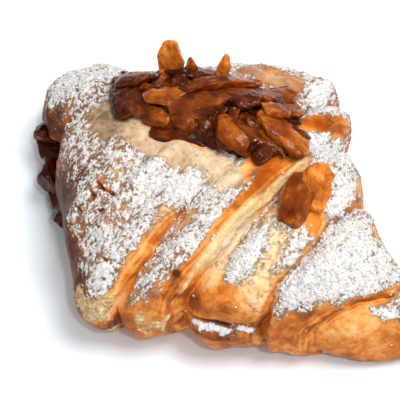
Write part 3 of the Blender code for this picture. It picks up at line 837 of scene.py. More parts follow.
# the least dust there, its mean and its weights of the middle and fine grain, and its levels
LEAST_DUST, MEAN_LEAST, LEAST_GRAIN, LEAST_LEVELS = 0.26, 0.8, (0.8, 0.5), (14, 34)
# base level of browning and the weights of the broad and middle grain
BASE_BAKE, BAKE_GRAIN = 0.47, (0.20, 0.22)
# the last of these is painted shade: how much darker the side that faces away from the main light is
# made
STEEP_BAKE, JUICE_BAKE, LAMINATION_BAKE, PAINTED_SHADE_DARKENING = 0.12, 0.1, 0.16, 0.28
STEEP_SLOPES, CREASED_COVER, LINE_WANDER = (0.5, -0.3), (0.25, 0.7), 0.5
print("sugar on a level top before patches and grain:", round(STEEP_SUGAR + LEVEL_SUGAR, 2))


# %% Ragged patches and the cover of sugar
def ragged(points, table, edge, middle, fine):
    """A smooth step over the sum of a table's patches and two weighted grains."""
    begins, full, middle_weight, fine_weight = edge
    return step_up(begins, full, patches(points, table) + middle_weight * middle + fine_weight * fine)


def sugar_cover(points, slope, lumps, grains, causes):
    """What the slope leaves, plus patches, grains and lumps, less each cause times its loss."""
    cover = STEEP_SUGAR + LEVEL_SUGAR * step_up(0.0, LEVEL_SLOPE, slope)
    cover = cover + patches(points, SUGAR_PATCHES)
    for weight, size in zip(SUGAR_GRAIN, grains):
        cover = cover + weight * size
    cover = cover + LUMP_SUGAR * (lumps - MEAN_LUMP)
    for weight, cause in zip(SUGAR_LOSS, causes):
        cover = cover - weight * cause
    return cover


def least_dust(points, painted_shade, middle, fine):
    """A thin cover on the side with painted shade above its foot, which comes and goes with the grain.
    """
    least = LEAST_DUST * painted_shade * step_up(*LEAST_LEVELS, points[..., 2])
    return least * (MEAN_LEAST + LEAST_GRAIN[0] * middle + LEAST_GRAIN[1] * fine)


print("the least dust lies from", LEAST_LEVELS[0], "mm upwards")


# %% All the masks
def crust_masks(points, normals, wall, laminations):
    """Shares of sugar, browning with painted shade, glaze, juice, creases and pale torn dough at each
    point.

    Sugar and the darkening are sums of slope, patches, grains and lines, and the darkening also
    holds the painted shade of the left side; both are cut to between 0 and 1.
    """
    slope = normals[..., 2]
    grains = [rough(points, cell, 3, seed) for cell, seed in GRAIN_SIZES]
    broad, middle, fine = grains
    lumps, crease = crinkle_of(points)
    torn = ragged(points, PALE_PATCHES, TORN_EDGE, middle, fine)
    glaze = ragged(points, GLAZE_PATCHES, GLAZE_EDGE, middle, fine)
    juice = ragged(points, JUICE_PATCHES, JUICE_EDGE, middle, fine)
    pale = np.maximum(wall, torn)
    # painted shade: the side that faces away from the main light is darkened and its sugar thinned
    painted_shade = step_up(*PAINTED_SHADE_FACING, normals @ PAINTED_SHADE_SIDE) * step_up(*PAINTED_SHADE_PLACE, points[..., 0])
    # creases take sugar away and so darken: partly split sugar, partly painted shade in the creases
    cover = sugar_cover(points, slope, lumps, grains, (painted_shade, glaze, juice, wall, torn, crease))
    least = least_dust(points, painted_shade, middle, fine)
    cover = np.maximum(cover, least * (1 - glaze) * (1 - pale))
    bake = BASE_BAKE + BAKE_GRAIN[0] * broad + BAKE_GRAIN[1] * middle + patches(points, BAKE_PATCHES)
    for corners, width, sugar, darkening in CRUST_LINES:
        share = beside_line(points + LINE_WANDER * middle[..., None], corners, width)
        cover = cover + sugar * share
        bake = bake + darkening * share
    bake = bake + STEEP_BAKE * step_up(*STEEP_SLOPES, slope) + JUICE_BAKE * juice
    # the last term adds the painted shade of the left side to the darkening
    bake = bake + LAMINATION_BAKE * laminations + PAINTED_SHADE_DARKENING * painted_shade
    crease = crease * (1 - glaze) * (1 - pale) * step_up(*CREASED_COVER, cover)
    return {"sugar": np.clip(cover, 0, 1), "bake": np.clip(bake, 0, 1), "glaze": glaze, "juice": juice,
            "pale": pale, "crease": crease, "lumps": lumps, "fine": fine, "torn": torn}


spot = np.array([[0.0, 0.0, 47.0]])
level = np.array([[0.0, 0.0, 1.0]])
masks_on_top = crust_masks(spot, level, np.zeros(1), np.zeros(1))
print("masks on top of the middle turn:", {k: v.round(2)[0] for k, v in masks_on_top.items()})

# %% [markdown]
# ## Cracks
# A few dry cracks open on the middle turn where its skin bent.  Each is a short jagged segment,
# deepest in its middle and gone one width away.  Inside them the sugar is gone, and the crust is
# darkened as painted shade.

# %% Cracks
# start, end, width, depth
CRACKS = (
    ((-21.5, -35.2, 42.6), (-18.3, -35.9, 42.9), 0.5, 1.3),
    ((-18.3, -35.9, 42.9), (-15.5, -35.4, 43.7), 0.45, 1.1),
    ((-22, -38.4, 41.5), (-20.2, -38.8, 41.5), 0.45, 1.2),
    ((-20.7, -38.8, 41.4), (-20.3, -40.2, 40.8), 0.4, 0.9),
    ((-26.5, -18.8, 46.2), (-23.6, -18.8, 46.2), 0.35, 0.6),
    ((-12, -30, 45), (-8, -33, 45), 0.35, 0.6), ((-6, -54, 38.4), (-2.6, -55, 38.8), 0.4, 0.9),
    ((-0.5, -54.5, 37.8), (2, -54.2, 37.6), 0.4, 0.7),
    ((-2.5, -58.6, 35.4), (0.2, -59, 35), 0.4, 0.8), ((-30, -31, 40), (-26, -33, 41), 0.4, 0.8),
    ((-24, -44, 38.5), (-21, -45, 38), 0.4, 0.8),
    ((-17.5, -42, 41.3), (-14.5, -41.5, 41.9), 0.5, 1.0),
    ((-3, -26, 46.5), (-1, -30, 46), 0.3, 0.5),
)
CRACK_WANDER, CRACK_WANDER_CELL, CRACK_WANDER_SEEDS = 0.7, 1.4, (31, 32)
CRACK_TAPER = 0.7


def crack_depth(points):
    """Deepest of the cracks: depth times exp of minus the squared gap in widths, less at its ends."""
    wander = [grain(points, CRACK_WANDER_CELL, seed) for seed in CRACK_WANDER_SEEDS]
    jagged = points + CRACK_WANDER * np.stack([*wander, np.zeros(points.shape[:-1])], -1)
    depth = np.zeros(points.shape[:-1])
    for start, end, width, deep in CRACKS:
        t, gap = along_segment(jagged, start, end)
        open_share = 1 - CRACK_TAPER * np.abs(2 * t - 1)
        depth = np.maximum(depth, deep * np.exp(-(gap / width) ** 2) * open_share)
    return depth


print("cracks:", len(CRACKS))

# %% [markdown]
# ## The mouth at the left side
# Low on the near left side, the roll gapes and the filling shows.  The crust is pushed in along
# a level band there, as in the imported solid, and the share that says how far is kept, because
# the inside of the mouth is browner and has no sugar.

# %% The mouth
MOUTH_MIDDLE = np.array([-52.5, -24.5])
MOUTH_ALONG = np.array([0.76, -0.65])
MOUTH_OUT = np.array([MOUTH_ALONG[1], -MOUTH_ALONG[0]])
MOUTH_HALF_LENGTH, MOUTH_SOFT_END = 20.0, 7.0
MOUTH_FLOOR, MOUTH_ROOF = (6.3, 8.6), (18.4, 15.8)
MOUTH_REACH, MOUTH_FACING = (-20, -12), (0.1, 0.5)
MOUTH_DEPTH = 6.5


def open_mouth(points, normals):
    """Push the crust in by the product of smooth steps: along the mouth, outwards and up."""
    offset = points[..., :2] - MOUTH_MIDDLE
    share = step_up(MOUTH_HALF_LENGTH, MOUTH_HALF_LENGTH - MOUTH_SOFT_END, np.abs(offset @ MOUTH_ALONG))
    share = share * step_up(*MOUTH_REACH, offset @ MOUTH_OUT)
    share = share * step_up(*MOUTH_FLOOR, points[..., 2]) * step_up(*MOUTH_ROOF, points[..., 2])
    share = share * step_up(*MOUTH_FACING, normals[..., :2] @ MOUTH_OUT)
    moved = points.copy()
    moved[..., :2] -= (MOUTH_DEPTH * share)[..., None] * MOUTH_OUT
    return moved, share


print("the mouth is about", round(MOUTH_ROOF[0] - MOUTH_FLOOR[0]), "mm high")

# %% [markdown]
# ## Relief of the crust
# Close to, the crust is never smooth.  Sugar lies in a crust of granules, laminated dough shows
# as ridges that run along the lips, and the torn ribbon stands up in layers.  All of it moves
# the points along their normals, so that it is real geometry, and finer granules are left to
# the material.

# %% Relief from the masks
# rough grains have a height, a cell, a number of octaves and a seed
DOUGH_LUMPS = ((0.45, 6.5, 2, 11), (0.16, 2.2, 2, 13))
BLISTERS = (0.10, 1.6, 2, 19)
WRINKLES, WRINKLE_STRETCH = (0.85, 3.2, 3, 23), np.array([1.0, 0.30, 0.45])
FILM, FILM_HEIGHT = (0.30, 2.0, 2, 25), 0.25
WALL_LAYERS, WALL_HEIGHT = (0.25, 1.5, 2, 21), 0.60
TORN_LAYERS, TORN_HEIGHT = (0.9, 2.0, 3, 27), 0.2
LUMP_HEIGHT, CREASE_DEPTH, FINE_HEIGHT = 0.46, 0.25, 0.14
LAMINATION_HEIGHT = 0.22
GLAZE_CALM = 0.6


def bumps(points, row):
    """Height times the sum of grains that a row of cell, octaves and seed gives."""
    height, cell, octaves, seed = row
    return height * rough(points, cell, octaves, seed)


def curl_relief(points):
    """A rolled rim low on the near side of the third turn, less the shelf above it."""
    rim = CURL_HEIGHT * beside_line(points, CURL, CURL_WIDTH)
    return rim - SHELF_DEPTH * beside_line(points, CURL_SHELF, SHELF_WIDTH)


def crust_relief(points, masks, wall, laminations):
    """Height to add: each kind of relief times the mask that it belongs to, less the cracks."""
    sugar, glaze = masks["sugar"], masks["glaze"]
    lumps = sum(bumps(points, row) for row in DOUGH_LUMPS)
    dough = (lumps + LAMINATION_HEIGHT * laminations) * (1 - GLAZE_CALM * glaze)
    folds = sum(height * beside_line(points, corners, width) for corners, width, height in FOLDS)
    granules = LUMP_HEIGHT * masks["lumps"] - CREASE_DEPTH * masks["crease"]
    granules = granules + FINE_HEIGHT * masks["fine"] + bumps(points * WRINKLE_STRETCH, WRINKLES)
    granules = sugar * granules
    film = glaze * (FILM_HEIGHT + bumps(points, FILM))
    blisters = (1 - sugar) * (1 - glaze) * bumps(points, BLISTERS)
    layers = wall * (WALL_HEIGHT + bumps(points, WALL_LAYERS))
    layers = layers + masks["torn"] * (TORN_HEIGHT + bumps(points, TORN_LAYERS))
    return dough + folds + granules + film + blisters + layers - crack_depth(points)


print("thick sugar: lumps of", LUMP_HEIGHT, "mm and wrinkles of", WRINKLES[0], "mm")

# %% [markdown]
# ## Small helpers for shader nodes
# A material is a tree of nodes.  These helpers add a node, set or link its inputs and hand back
# the output, so that a finish reads as a short list of steps.

# %% Node helpers
def put(tree, value, socket):
    """Link a socket to an input, or set a constant on it, with full opacity for a colour."""
    if isinstance(value, bpy.types.NodeSocket):
        tree.links.new(value, socket)
    else:
        socket.default_value = (*value, 1.0) if socket.type == "RGBA" else value


def node(tree, kind, **inputs):
    """Add a shader node and set or link its inputs by name, with blanks written as underscores."""
    made = tree.nodes.new(kind)
    for name, value in inputs.items():
        numbered = name[0] == "_"
        put(tree, value, made.inputs[int(name[1:]) if numbered else name.replace("_", " ")])
    return made


def maths(tree, operation, first, second=0.0, third=0.0):
    """A Math node and its output."""
    made = node(tree, "ShaderNodeMath", _0=first, _1=second, _2=third)
    made.operation = operation
    return made.outputs[0]


def scaled(tree, value, factor, offset):
    """The value times a factor, plus an offset."""
    return maths(tree, "MULTIPLY_ADD", value, factor, offset)


def mask_of(tree, name):
    """The value of a point mask."""
    made = tree.nodes.new("ShaderNodeAttribute")
    made.attribute_name = name
    return made.outputs["Fac"]


def noise(tree, place, scale, detail=3.0, roughness=0.55, distortion=0.0):
    """Noise on object coordinates, 0 to 1."""
    made = node(tree, "ShaderNodeTexNoise", Vector=place, Scale=scale, Detail=detail,
                Roughness=roughness, Distortion=distortion)
    return made.outputs["Fac"]


def between(tree, value, low, high, top=1.0):
    """0 below low, the top value above high and a straight line in between."""
    made = node(tree, "ShaderNodeMapRange", Value=value, From_Min=low, From_Max=high, To_Max=top)
    return made.outputs[0]


print("constants are set on a socket, and outputs are linked to it")


# %% Helpers for colours, bumps and materials
def ramp(tree, value, stops):
    """A colour ramp through (position, colour) stops."""
    made = node(tree, "ShaderNodeValToRGB", _0=value)
    elements = made.color_ramp.elements
    while len(elements) < len(stops):
        elements.new(0.5)
    for element, (position, colour) in zip(elements, stops):
        element.position = position
        element.color = (*colour, 1.0)
    return made.outputs["Color"]


def blend_colour(tree, share, below, above):
    """Mix two colours by a share."""
    made = tree.nodes.new("ShaderNodeMix")
    made.data_type = "RGBA"
    for number, value in ((0, share), (6, below), (7, above)):
        put(tree, value, made.inputs[number])
    return made.outputs[2]


def bump(tree, shader, height, distance):
    """Shade as if the surface rose by the height times a distance in metres; give the normal."""
    made = node(tree, "ShaderNodeBump", Height=height, Distance=distance, Strength=1.0)
    put(tree, made.outputs["Normal"], shader.inputs["Normal"])
    return made.outputs["Normal"]


def new_material(name):
    """An empty material with a Principled shader and object coordinates."""
    material = bpy.data.materials.new(name)
    material.use_nodes = True
    tree = material.node_tree
    place = tree.nodes.new("ShaderNodeTexCoord").outputs["Object"]
    return material, tree, tree.nodes["Principled BSDF"], place


print("helpers for a finish:", [helper.__name__ for helper in (ramp, blend_colour, bump, new_material)])

# %% [markdown]
# ## The finish of the crust
# The crust's colour follows how far it baked, from cream through gold to red brown, and the same
# ramp also darkens the painted shade on the left side and in the cracks, which the darkening mask
# carries with the browning.  A thin dust greys it before the sugar covers it.  Torn dough is pale,
# glaze is a cream film, and juice stains the crust amber.  Sugar lies over all of it as a matt
# white that breaks up into granules.  The masks travel on the mesh as attributes, and noise finer
# than the mesh breaks their borders.

# %% Colours of the crust
CRUST_COLOURS = (
    (0.00, (0.88, 0.63, 0.37)), (0.20, (0.86, 0.51, 0.23)), (0.38, (0.77, 0.34, 0.090)),
    (0.56, (0.60, 0.175, 0.028)), (0.74, (0.34, 0.085, 0.014)), (1.00, (0.085, 0.024, 0.009)),
)
DUST_COLOURS = (
    (0.20, (0.46, 0.28, 0.15)), (0.45, (0.24, 0.145, 0.085)), (0.75, (0.20, 0.135, 0.09)),
    (1.00, (0.50, 0.41, 0.33)),
)
# dark dust where the darkening is high; on the left side this deepens the painted shade
DARK_DUST = (0.085, 0.038, 0.018)
RIBBON_COLOURS = (
    (0.0, (0.44, 0.19, 0.05)), (0.3, (0.68, 0.40, 0.15)), (0.6, (0.75, 0.52, 0.24)),
    (1.0, (0.82, 0.64, 0.36)),
)
TORN_COLOURS = (
    (0.0, (0.19, 0.085, 0.028)), (0.3, (0.42, 0.24, 0.09)), (0.6, (0.61, 0.42, 0.21)),
    (1.0, (0.80, 0.65, 0.42)),
)
GLAZE_COLOURS = ((0.0, (0.20, 0.135, 0.08)), (0.42, (0.52, 0.38, 0.235)), (1.0, (0.76, 0.61, 0.43)))
JUICE_COLOURS = (
    (0.10, (0.72, 0.24, 0.032)), (0.38, (0.68, 0.20, 0.020)), (0.62, (0.50, 0.115, 0.009)),
    (0.90, (0.30, 0.050, 0.004)),
)
SPICE_ON_CRUST = (0.20, 0.09, 0.03)
SUGAR_COLOURS = ((0.0, (0.66, 0.54, 0.45)), (0.35, (0.88, 0.85, 0.82)), (1.0, (0.955, 0.948, 0.935)))
print("colours from pale to dark crust:", len(CRUST_COLOURS))

# %% Noises and tones of the crust
# scale in waves a metre, detail, roughness, distortion
MIDDLE_NOISE, FINE_NOISE = (300.0, 4.0, 0.6), (900.0, 4.0, 0.6)
RIBBON_NOISE, TORN_NOISE = (520.0, 5.0, 0.72, 0.6), (620.0, 5.0, 0.7, 0.8)
GLAZE_NOISE, SPICE_NOISE = (240.0, 5.0, 0.65), (1050.0, 1.0)
LUMP_NOISE, DUST_NOISE = (700.0, 5.0, 0.70, 0.6), (1500.0, 3.0, 0.6)
# factor and offset that turn a noise into a place on its ramp or into an amount to add
BAKE_FROM_MIDDLE, BAKE_FROM_FINE = (0.40, -0.20), (0.36, -0.18)
RIBBON_TONE, TORN_TONE, GLAZE_TONE = (2.4, -0.40), (2.8, -0.80), (1.9, 0.10)
POWDER_LUMPS, POWDER_DUST = (2.3, -1.15), (1.1, -0.55)
POWDER_LOUDNESS, POWDER_STRETCH = (1.6, 0.18), (1.0, 0.55, 0.65)
BROWN_RIBBON = 0.35
WELL_BAKED = 0.5
DUST_BY_DARKENING, DUST_RANGE, DARK_DUST_SHARE, MOST_DARK_DUST = 0.10, (0.18, 0.50, 0.85), 1.6, 0.6
GLAZE_SHARE, SPICE_SHARE, SUGAR_SHARE = 0.90, 0.55, 0.96
SPICE_RANGE = (0.69, 0.74)
JUICE_PATCHINESS, JUICE_TONE_OFFSET = (1.1, 0.35), -0.12
SUGAR_RANGE, SUGAR_THICKNESS = (0.34, 0.74), (1.7, -0.75)
CRUST_MATT, PALE_MATT, SUGAR_MATT, MOST_MATT = (0.25, 0.26), 0.4, 0.6, 0.95
CRUST_SPECULAR = 0.04
LEAST_POWDER, FINE_BUMP, CRUST_BUMP = 0.30, 0.35, 0.00065
print("the dust's noise has specks of about", round(1000 / DUST_NOISE[0], 2), "mm and finer")


# %% Powder and dust
def powder_height(tree, place):
    """The sugar mask plus two noises; the noises count less where the mask is low."""
    drawn_out = node(tree, "ShaderNodeVectorMath", _0=place, _1=POWDER_STRETCH)
    drawn_out.operation = "MULTIPLY"
    lumps = scaled(tree, noise(tree, drawn_out.outputs[0], *LUMP_NOISE), *POWDER_LUMPS)
    dust = scaled(tree, noise(tree, place, *DUST_NOISE), *POWDER_DUST)
    sugar = mask_of(tree, "sugar")
    loudness = maths(tree, "MINIMUM", scaled(tree, sugar, *POWDER_LOUDNESS), 1.0)
    return maths(tree, "MULTIPLY_ADD", maths(tree, "ADD", lumps, dust), loudness, sugar)


def dusted(tree, colour, darkening):
    """Grey-brown dust over a colour, more with the sugar mask and darker where the darkening mask,
    browning and painted shade together, is high.
    """
    darkened_far = maths(tree, "MAXIMUM", maths(tree, "SUBTRACT", darkening, WELL_BAKED), 0.0)
    dust = maths(tree, "MULTIPLY_ADD", darkened_far, DUST_BY_DARKENING, mask_of(tree, "sugar"))
    dark = maths(tree, "MULTIPLY", darkened_far, DARK_DUST_SHARE)
    dark = maths(tree, "MINIMUM", dark, MOST_DARK_DUST)
    dust_colour = blend_colour(tree, dark, ramp(tree, dust, DUST_COLOURS), DARK_DUST)
    return blend_colour(tree, between(tree, dust, *DUST_RANGE), colour, dust_colour)


print("dust begins to show at a sugar mask of about", DUST_RANGE[0])


# %% Torn dough and glaze
def torn_and_glazed(tree, place, colour, darkening):
    """The pale ribbon, torn dough and the glaze over a colour, each toned by its own noise."""
    tone = scaled(tree, noise(tree, place, *RIBBON_NOISE), *RIBBON_TONE)
    tone = maths(tree, "SUBTRACT", tone, maths(tree, "MULTIPLY", darkening, BROWN_RIBBON))
    colour = blend_colour(tree, mask_of(tree, "pale"), colour, ramp(tree, tone, RIBBON_COLOURS))
    tone = scaled(tree, noise(tree, place, *TORN_NOISE), *TORN_TONE)
    colour = blend_colour(tree, mask_of(tree, "torn"), colour, ramp(tree, tone, TORN_COLOURS))
    tone = scaled(tree, noise(tree, place, *GLAZE_NOISE), *GLAZE_TONE)
    tone = maths(tree, "SUBTRACT", tone, darkening)
    share = maths(tree, "MULTIPLY", mask_of(tree, "glaze"), GLAZE_SHARE)
    return blend_colour(tree, share, colour, ramp(tree, tone, GLAZE_COLOURS))


print("glaze hides", round(100 * GLAZE_SHARE), "percent of the crust below it")


# %% The crust material
def crust_material():
    """Ramp of browning and painted shade, dust, pale dough, glaze, juice, spice and sugar, one over the
    other.
    """
    material, tree, shader, place = new_material("sugared_crust")
    fine, middle = noise(tree, place, *FINE_NOISE), noise(tree, place, *MIDDLE_NOISE)
    darkening = mask_of(tree, "bake")
    bake = maths(tree, "ADD", darkening, scaled(tree, middle, *BAKE_FROM_MIDDLE))
    bake = maths(tree, "ADD", bake, scaled(tree, fine, *BAKE_FROM_FINE))
    colour = dusted(tree, ramp(tree, bake, CRUST_COLOURS), darkening)
    colour = torn_and_glazed(tree, place, colour, darkening)
    patchy = maths(tree, "MINIMUM", scaled(tree, middle, *JUICE_PATCHINESS), 1.0)
    juice = maths(tree, "MULTIPLY", mask_of(tree, "juice"), patchy)
    tone = maths(tree, "ADD", bake, JUICE_TONE_OFFSET)
    colour = blend_colour(tree, juice, colour, ramp(tree, tone, JUICE_COLOURS))
    spice = between(tree, noise(tree, place, *SPICE_NOISE), *SPICE_RANGE)
    colour = blend_colour(tree, maths(tree, "MULTIPLY", spice, SPICE_SHARE), colour, SPICE_ON_CRUST)
    powder = powder_height(tree, place)
    share = between(tree, powder, *SUGAR_RANGE)
    share.node.interpolation_type = "SMOOTHSTEP"
    share = maths(tree, "MULTIPLY", share, SUGAR_SHARE)
    thickness = scaled(tree, powder, *SUGAR_THICKNESS)
    colour = blend_colour(tree, share, colour, ramp(tree, thickness, SUGAR_COLOURS))
    put(tree, colour, shader.inputs["Base Color"])
    matt = scaled(tree, middle, *CRUST_MATT)
    matt = maths(tree, "ADD", matt, maths(tree, "MULTIPLY", mask_of(tree, "pale"), PALE_MATT))
    matt = maths(tree, "ADD", matt, maths(tree, "MULTIPLY", share, SUGAR_MATT))
    put(tree, maths(tree, "MINIMUM", matt, MOST_MATT), shader.inputs["Roughness"])
    shader.inputs["Specular IOR Level"].default_value = CRUST_SPECULAR
    heaped = maths(tree, "MAXIMUM", powder, LEAST_POWDER)
    bump(tree, shader, maths(tree, "MULTIPLY_ADD", fine, FINE_BUMP, heaped), CRUST_BUMP)
    return material


CRUST = crust_material()
print("crust material nodes:", len(CRUST.node_tree.nodes))

# %% [markdown]
# ## The six shells of the rolled dough
# From left to right: the left arm, the wide middle turn, three turns that step down to the
# right, and the right tip.  Each is one grid: rows along its profile, columns round the section.
# What lies deep under a neighbour's lip gets no relief, so that no shell comes through another.

# %% Profiles of the six shells
# the right tip is blunt: its rows stop at this turn, and its pole spans the rest
RIGHT_LAST_TURN = 1.1
RIGHT_TIP_ROWS = tip_profile(RIGHT_TIP, -1, RIGHT_ROUNDING, RIGHT_LAST_TURN)
# name, marks of the profile, columns round the section
TURNS = (
    ("left_arm", tip_profile(LEFT_TIP, 1, LEFT_ROUNDING) + foot_profile(EDGES[0])[::-1], 470),
    ("middle_turn", lip_profile(EDGES[0])[::-1] + lip_profile(EDGES[1]), 570),
    ("second_turn", foot_profile(EDGES[1]) + lip_profile(EDGES[2]), 640),
    ("third_turn", foot_profile(EDGES[2]) + lip_profile(EDGES[3]), 600),
    ("fourth_turn", foot_profile(EDGES[3]) + lip_profile(EDGES[4]), 520),
    ("right_tip", foot_profile(EDGES[4]) + RIGHT_TIP_ROWS[::-1], 400),
)
CRUST_MASKS = ("sugar", "bake", "glaze", "juice", "pale", "torn")
# the step down to the second turn is filled by this share: its places along and its angles
FILLED_SHARE = 0.62
FILLED_START, FILLED_END = (5.0, 7.0), (16.0, 14.0)
FILLED_FROM, FILLED_TO = (0.9, 1.3), (2.15, 1.75)
HIDDEN_RELIEF, BASE_FADE = (-8.5, -7.0), (0.0, 1.5)
# the second is painted shade that darkens the cracks, and the third takes away their sugar
MOUTH_BAKE, CRACK_PAINTED_SHADE, CRACK_SUGAR = 0.35, 0.9, 1.2
LEAST_SEEN_LEVEL = 6
SURFACES = []
print("columns of the shells:", {name: columns for name, _, columns in TURNS})


# %% Make one turn
def filled_step(x, relief, angle):
    """The relief times 1 minus a share that is full on top of the second turn's sunk step."""
    share = FILLED_SHARE * (step_up(*FILLED_FROM, angle) * step_up(*FILLED_TO, angle))
    return relief * (1 - share * step_up(*FILLED_END, x) * step_up(*FILLED_START, x))


def make_turn(name, marks, columns):
    """Build one shell: place its grid, open the mouth, work out masks and relief, mesh it."""
    x, relief = [values[:, None] for values in profile_rows(marks)]
    angle = section_angles(columns)[None, :]
    if name == "second_turn":
        relief = filled_step(x, relief, angle)
    points = dough_point(x, relief, angle)
    normals = grid_normals(points)
    points, mouth = open_mouth(points, normals)
    torn_lip = name in ("second_turn", "third_turn")
    wall = ribbon_share(points) if torn_lip else np.zeros(points.shape[:-1])
    edge_gap = np.min([np.abs(x - edge[0]) for edge in EDGES], axis=0) + 0 * angle
    laminations = laminations_of(points, edge_gap)
    masks = crust_masks(points, normals, wall, laminations)
    height = crust_relief(points, masks, wall, laminations)
    if name == "third_turn":
        height = height + curl_relief(points)
    open_air = step_up(*HIDDEN_RELIEF, relief)
    moved = points + normals * (height * open_air * step_up(*BASE_FADE, points[..., 2]))[..., None]
    moved[..., 2] = np.maximum(moved[..., 2], 0)
    # painted shade darkens the cracks, and their sugar goes; the mouth gets more browning and no sugar
    cracks = crack_depth(points)
    masks["bake"] = np.clip(masks["bake"] + MOUTH_BAKE * mouth + CRACK_PAINTED_SHADE * cracks, 0, 1)
    masks["sugar"] = np.clip(masks["sugar"] * (1 - mouth) - CRACK_SUGAR * cracks, 0, 1)
    masks = {mask: masks[mask] for mask in CRUST_MASKS}
    seen = (points[..., 2] > LEAST_SEEN_LEVEL) & (open_air[:, :1] > 0.5)
    shares = {mask: values[seen] for mask, values in masks.items()}
    SURFACES.append((moved[seen], grid_normals(moved)[seen], shares))
    masks = {mask: with_poles(values) for mask, values in masks.items()}
    triangles = grid_triangles(*moved.shape[:2])
    add_piece(name, with_poles(moved), triangles, masks, CRUST, "sugared_crust", ["croissant"])


print("masks on each shell:", CRUST_MASKS)

# %% Make the shells
for turn in TURNS:
    make_turn(*turn)

# %% [markdown]
# ## Loose sugar, flakes and crumbs
# Powdered sugar cakes into grains of up to a millimetre, torn pastry sheds thin flakes, and tan
# crumbs lie all over.  They are real: small twenty-sided bodies, squashed and turned at random,
# set on points of the crust that are drawn with a chance from its masks.

# %% A body with twenty sides
# distance of neighbours among the corners (0, +-1, +-golden) and their turns
EDGE_LENGTH = 2.0


def twenty_sides():
    """Corners and outward faces of an icosahedron: all triples of corners one edge apart."""
    golden = (1 + math.sqrt(5)) / 2
    longest = 1.05 * EDGE_LENGTH
    corners = [(0, a, b * golden) for a in (-1, 1) for b in (-1, 1)]
    corners = np.array(corners + [c[2:] + c[:2] for c in corners] + [c[1:] + c[:1] for c in corners])
    gaps = np.linalg.norm(corners[:, None] - corners[None], axis=-1)
    faces = []
    for triple in itertools.combinations(range(12), 3):
        if all(gaps[a, b] < longest for a, b in itertools.combinations(triple, 2)):
            a, b, c = corners[list(triple)]
            outward = np.cross(b - a, c - a) @ (a + b + c) > 0
            faces.append(triple if outward else triple[::-1])
    return corners / np.linalg.norm(corners[0]), np.array(faces)


print("faces of one body:", len(twenty_sides()[1]))

# %% Scatter bodies on the crust
# each side of a body and the distance of each corner are scaled by a value between these
SIZE_SPREAD, CORNER_SPREAD = (0.7, 1.3), (0.8, 1.2)


def unit(vectors):
    """Vectors divided by their lengths."""
    return vectors / np.linalg.norm(vectors, axis=-1)[:, None]


def scattered(name, chance, count, radii, flatness, tilt, sink, masks, seed):
    """Squashed, jittered bodies on drawn points: each is spun, tilted and set on its normal."""
    drawn = np.random.default_rng(seed)
    places, normals = [np.concatenate([surface[k] for surface in SURFACES]) for k in (0, 1)]
    shares = {mask: np.concatenate([surface[2][mask] for surface in SURFACES]) for mask in CRUST_MASKS}
    weights = chance(places, normals, shares)
    chosen = drawn.choice(len(places), count, p=weights / weights.sum())
    corners, faces = twenty_sides()
    up = unit(normals[chosen] + tilt * drawn.normal(size=(count, 3)))
    side = unit(np.cross(up, drawn.normal(size=(count, 3))))
    turn = np.stack([side, np.cross(up, side), up], 1)
    size = drawn.uniform(*radii, (count, 1, 1)) * drawn.uniform(*SIZE_SPREAD, (count, 1, 3))
    bodies = corners * size * np.array([1, 1, flatness])
    bodies = bodies * drawn.uniform(*CORNER_SPREAD, (count, len(corners), 1))
    placed = bodies @ turn + (places[chosen] + sink * normals[chosen])[:, None]
    triangles = faces[None] + len(corners) * np.arange(count)[:, None, None]
    spread = {mask: np.full(count * len(corners), masks.get(mask, 0.0)) for mask in CRUST_MASKS}
    print(name, "count:", count)
    add_piece(name, placed.reshape(-1, 3), triangles.reshape(-1, 3), spread, CRUST, "sugared_crust")


print("what can be scattered on:", sum(len(surface[0]) for surface in SURFACES), "points")


# %% Where grains, flakes and crumbs fall
STRAY_GRAINS, THICK_SUGAR, FACING_UP = 0.008, (0.5, 0.9), (-0.1, 0.4)
FLAKES_ON_RIBBON = 0.02
STRAY_CRUMBS, CRUMBS_ON_GLAZE = 0.05, 0.6


def chance_of_grain(places, normals, shares):
    """High on thick sugar that faces up, and a few strays elsewhere."""
    return (STRAY_GRAINS + step_up(*THICK_SUGAR, shares["sugar"])) * step_up(*FACING_UP, normals[:, 2])


def chance_of_flake(places, normals, shares):
    """The squared sum of the torn patches, and a little on the ribbon."""
    return patches(places, PALE_PATCHES).clip(0) ** 2 + FLAKES_ON_RIBBON * shares["pale"]


def chance_of_crumb(places, normals, shares):
    """A base chance, plus the sugar mask and part of the glaze mask."""
    return STRAY_CRUMBS + shares["sugar"] + CRUMBS_ON_GLAZE * shares["glaze"]


# name, chance, count, least and greatest radius, flatness, tilt, sink, masks, seed
for row in (
    ("sugar_grains", chance_of_grain, 4600, (0.16, 0.50), 0.7, 0.4, 0.12, {"sugar": 1.0}, 91),
    ("torn_flakes", chance_of_flake, 130, (0.35, 0.9), 0.20, 0.35, 0.0,
     {"torn": 1.0, "pale": 1.0, "bake": 0.45}, 92),
    ("tan_crumbs", chance_of_crumb, 260, (0.14, 0.30), 0.6, 0.4, 0.1,
     {"bake": 0.66, "sugar": 0.30}, 93),
):
    scattered(*row)

# %% [markdown]
# ## Cooked apple
# Cooked apple is amber, darker where it soaked up syrup, with brown specks of cinnamon.  It is
# wet, so a clear coat lies over a body with some light scattered inside.  A small bump under the
# coat breaks its shine into glints, as syrup does on fibres.

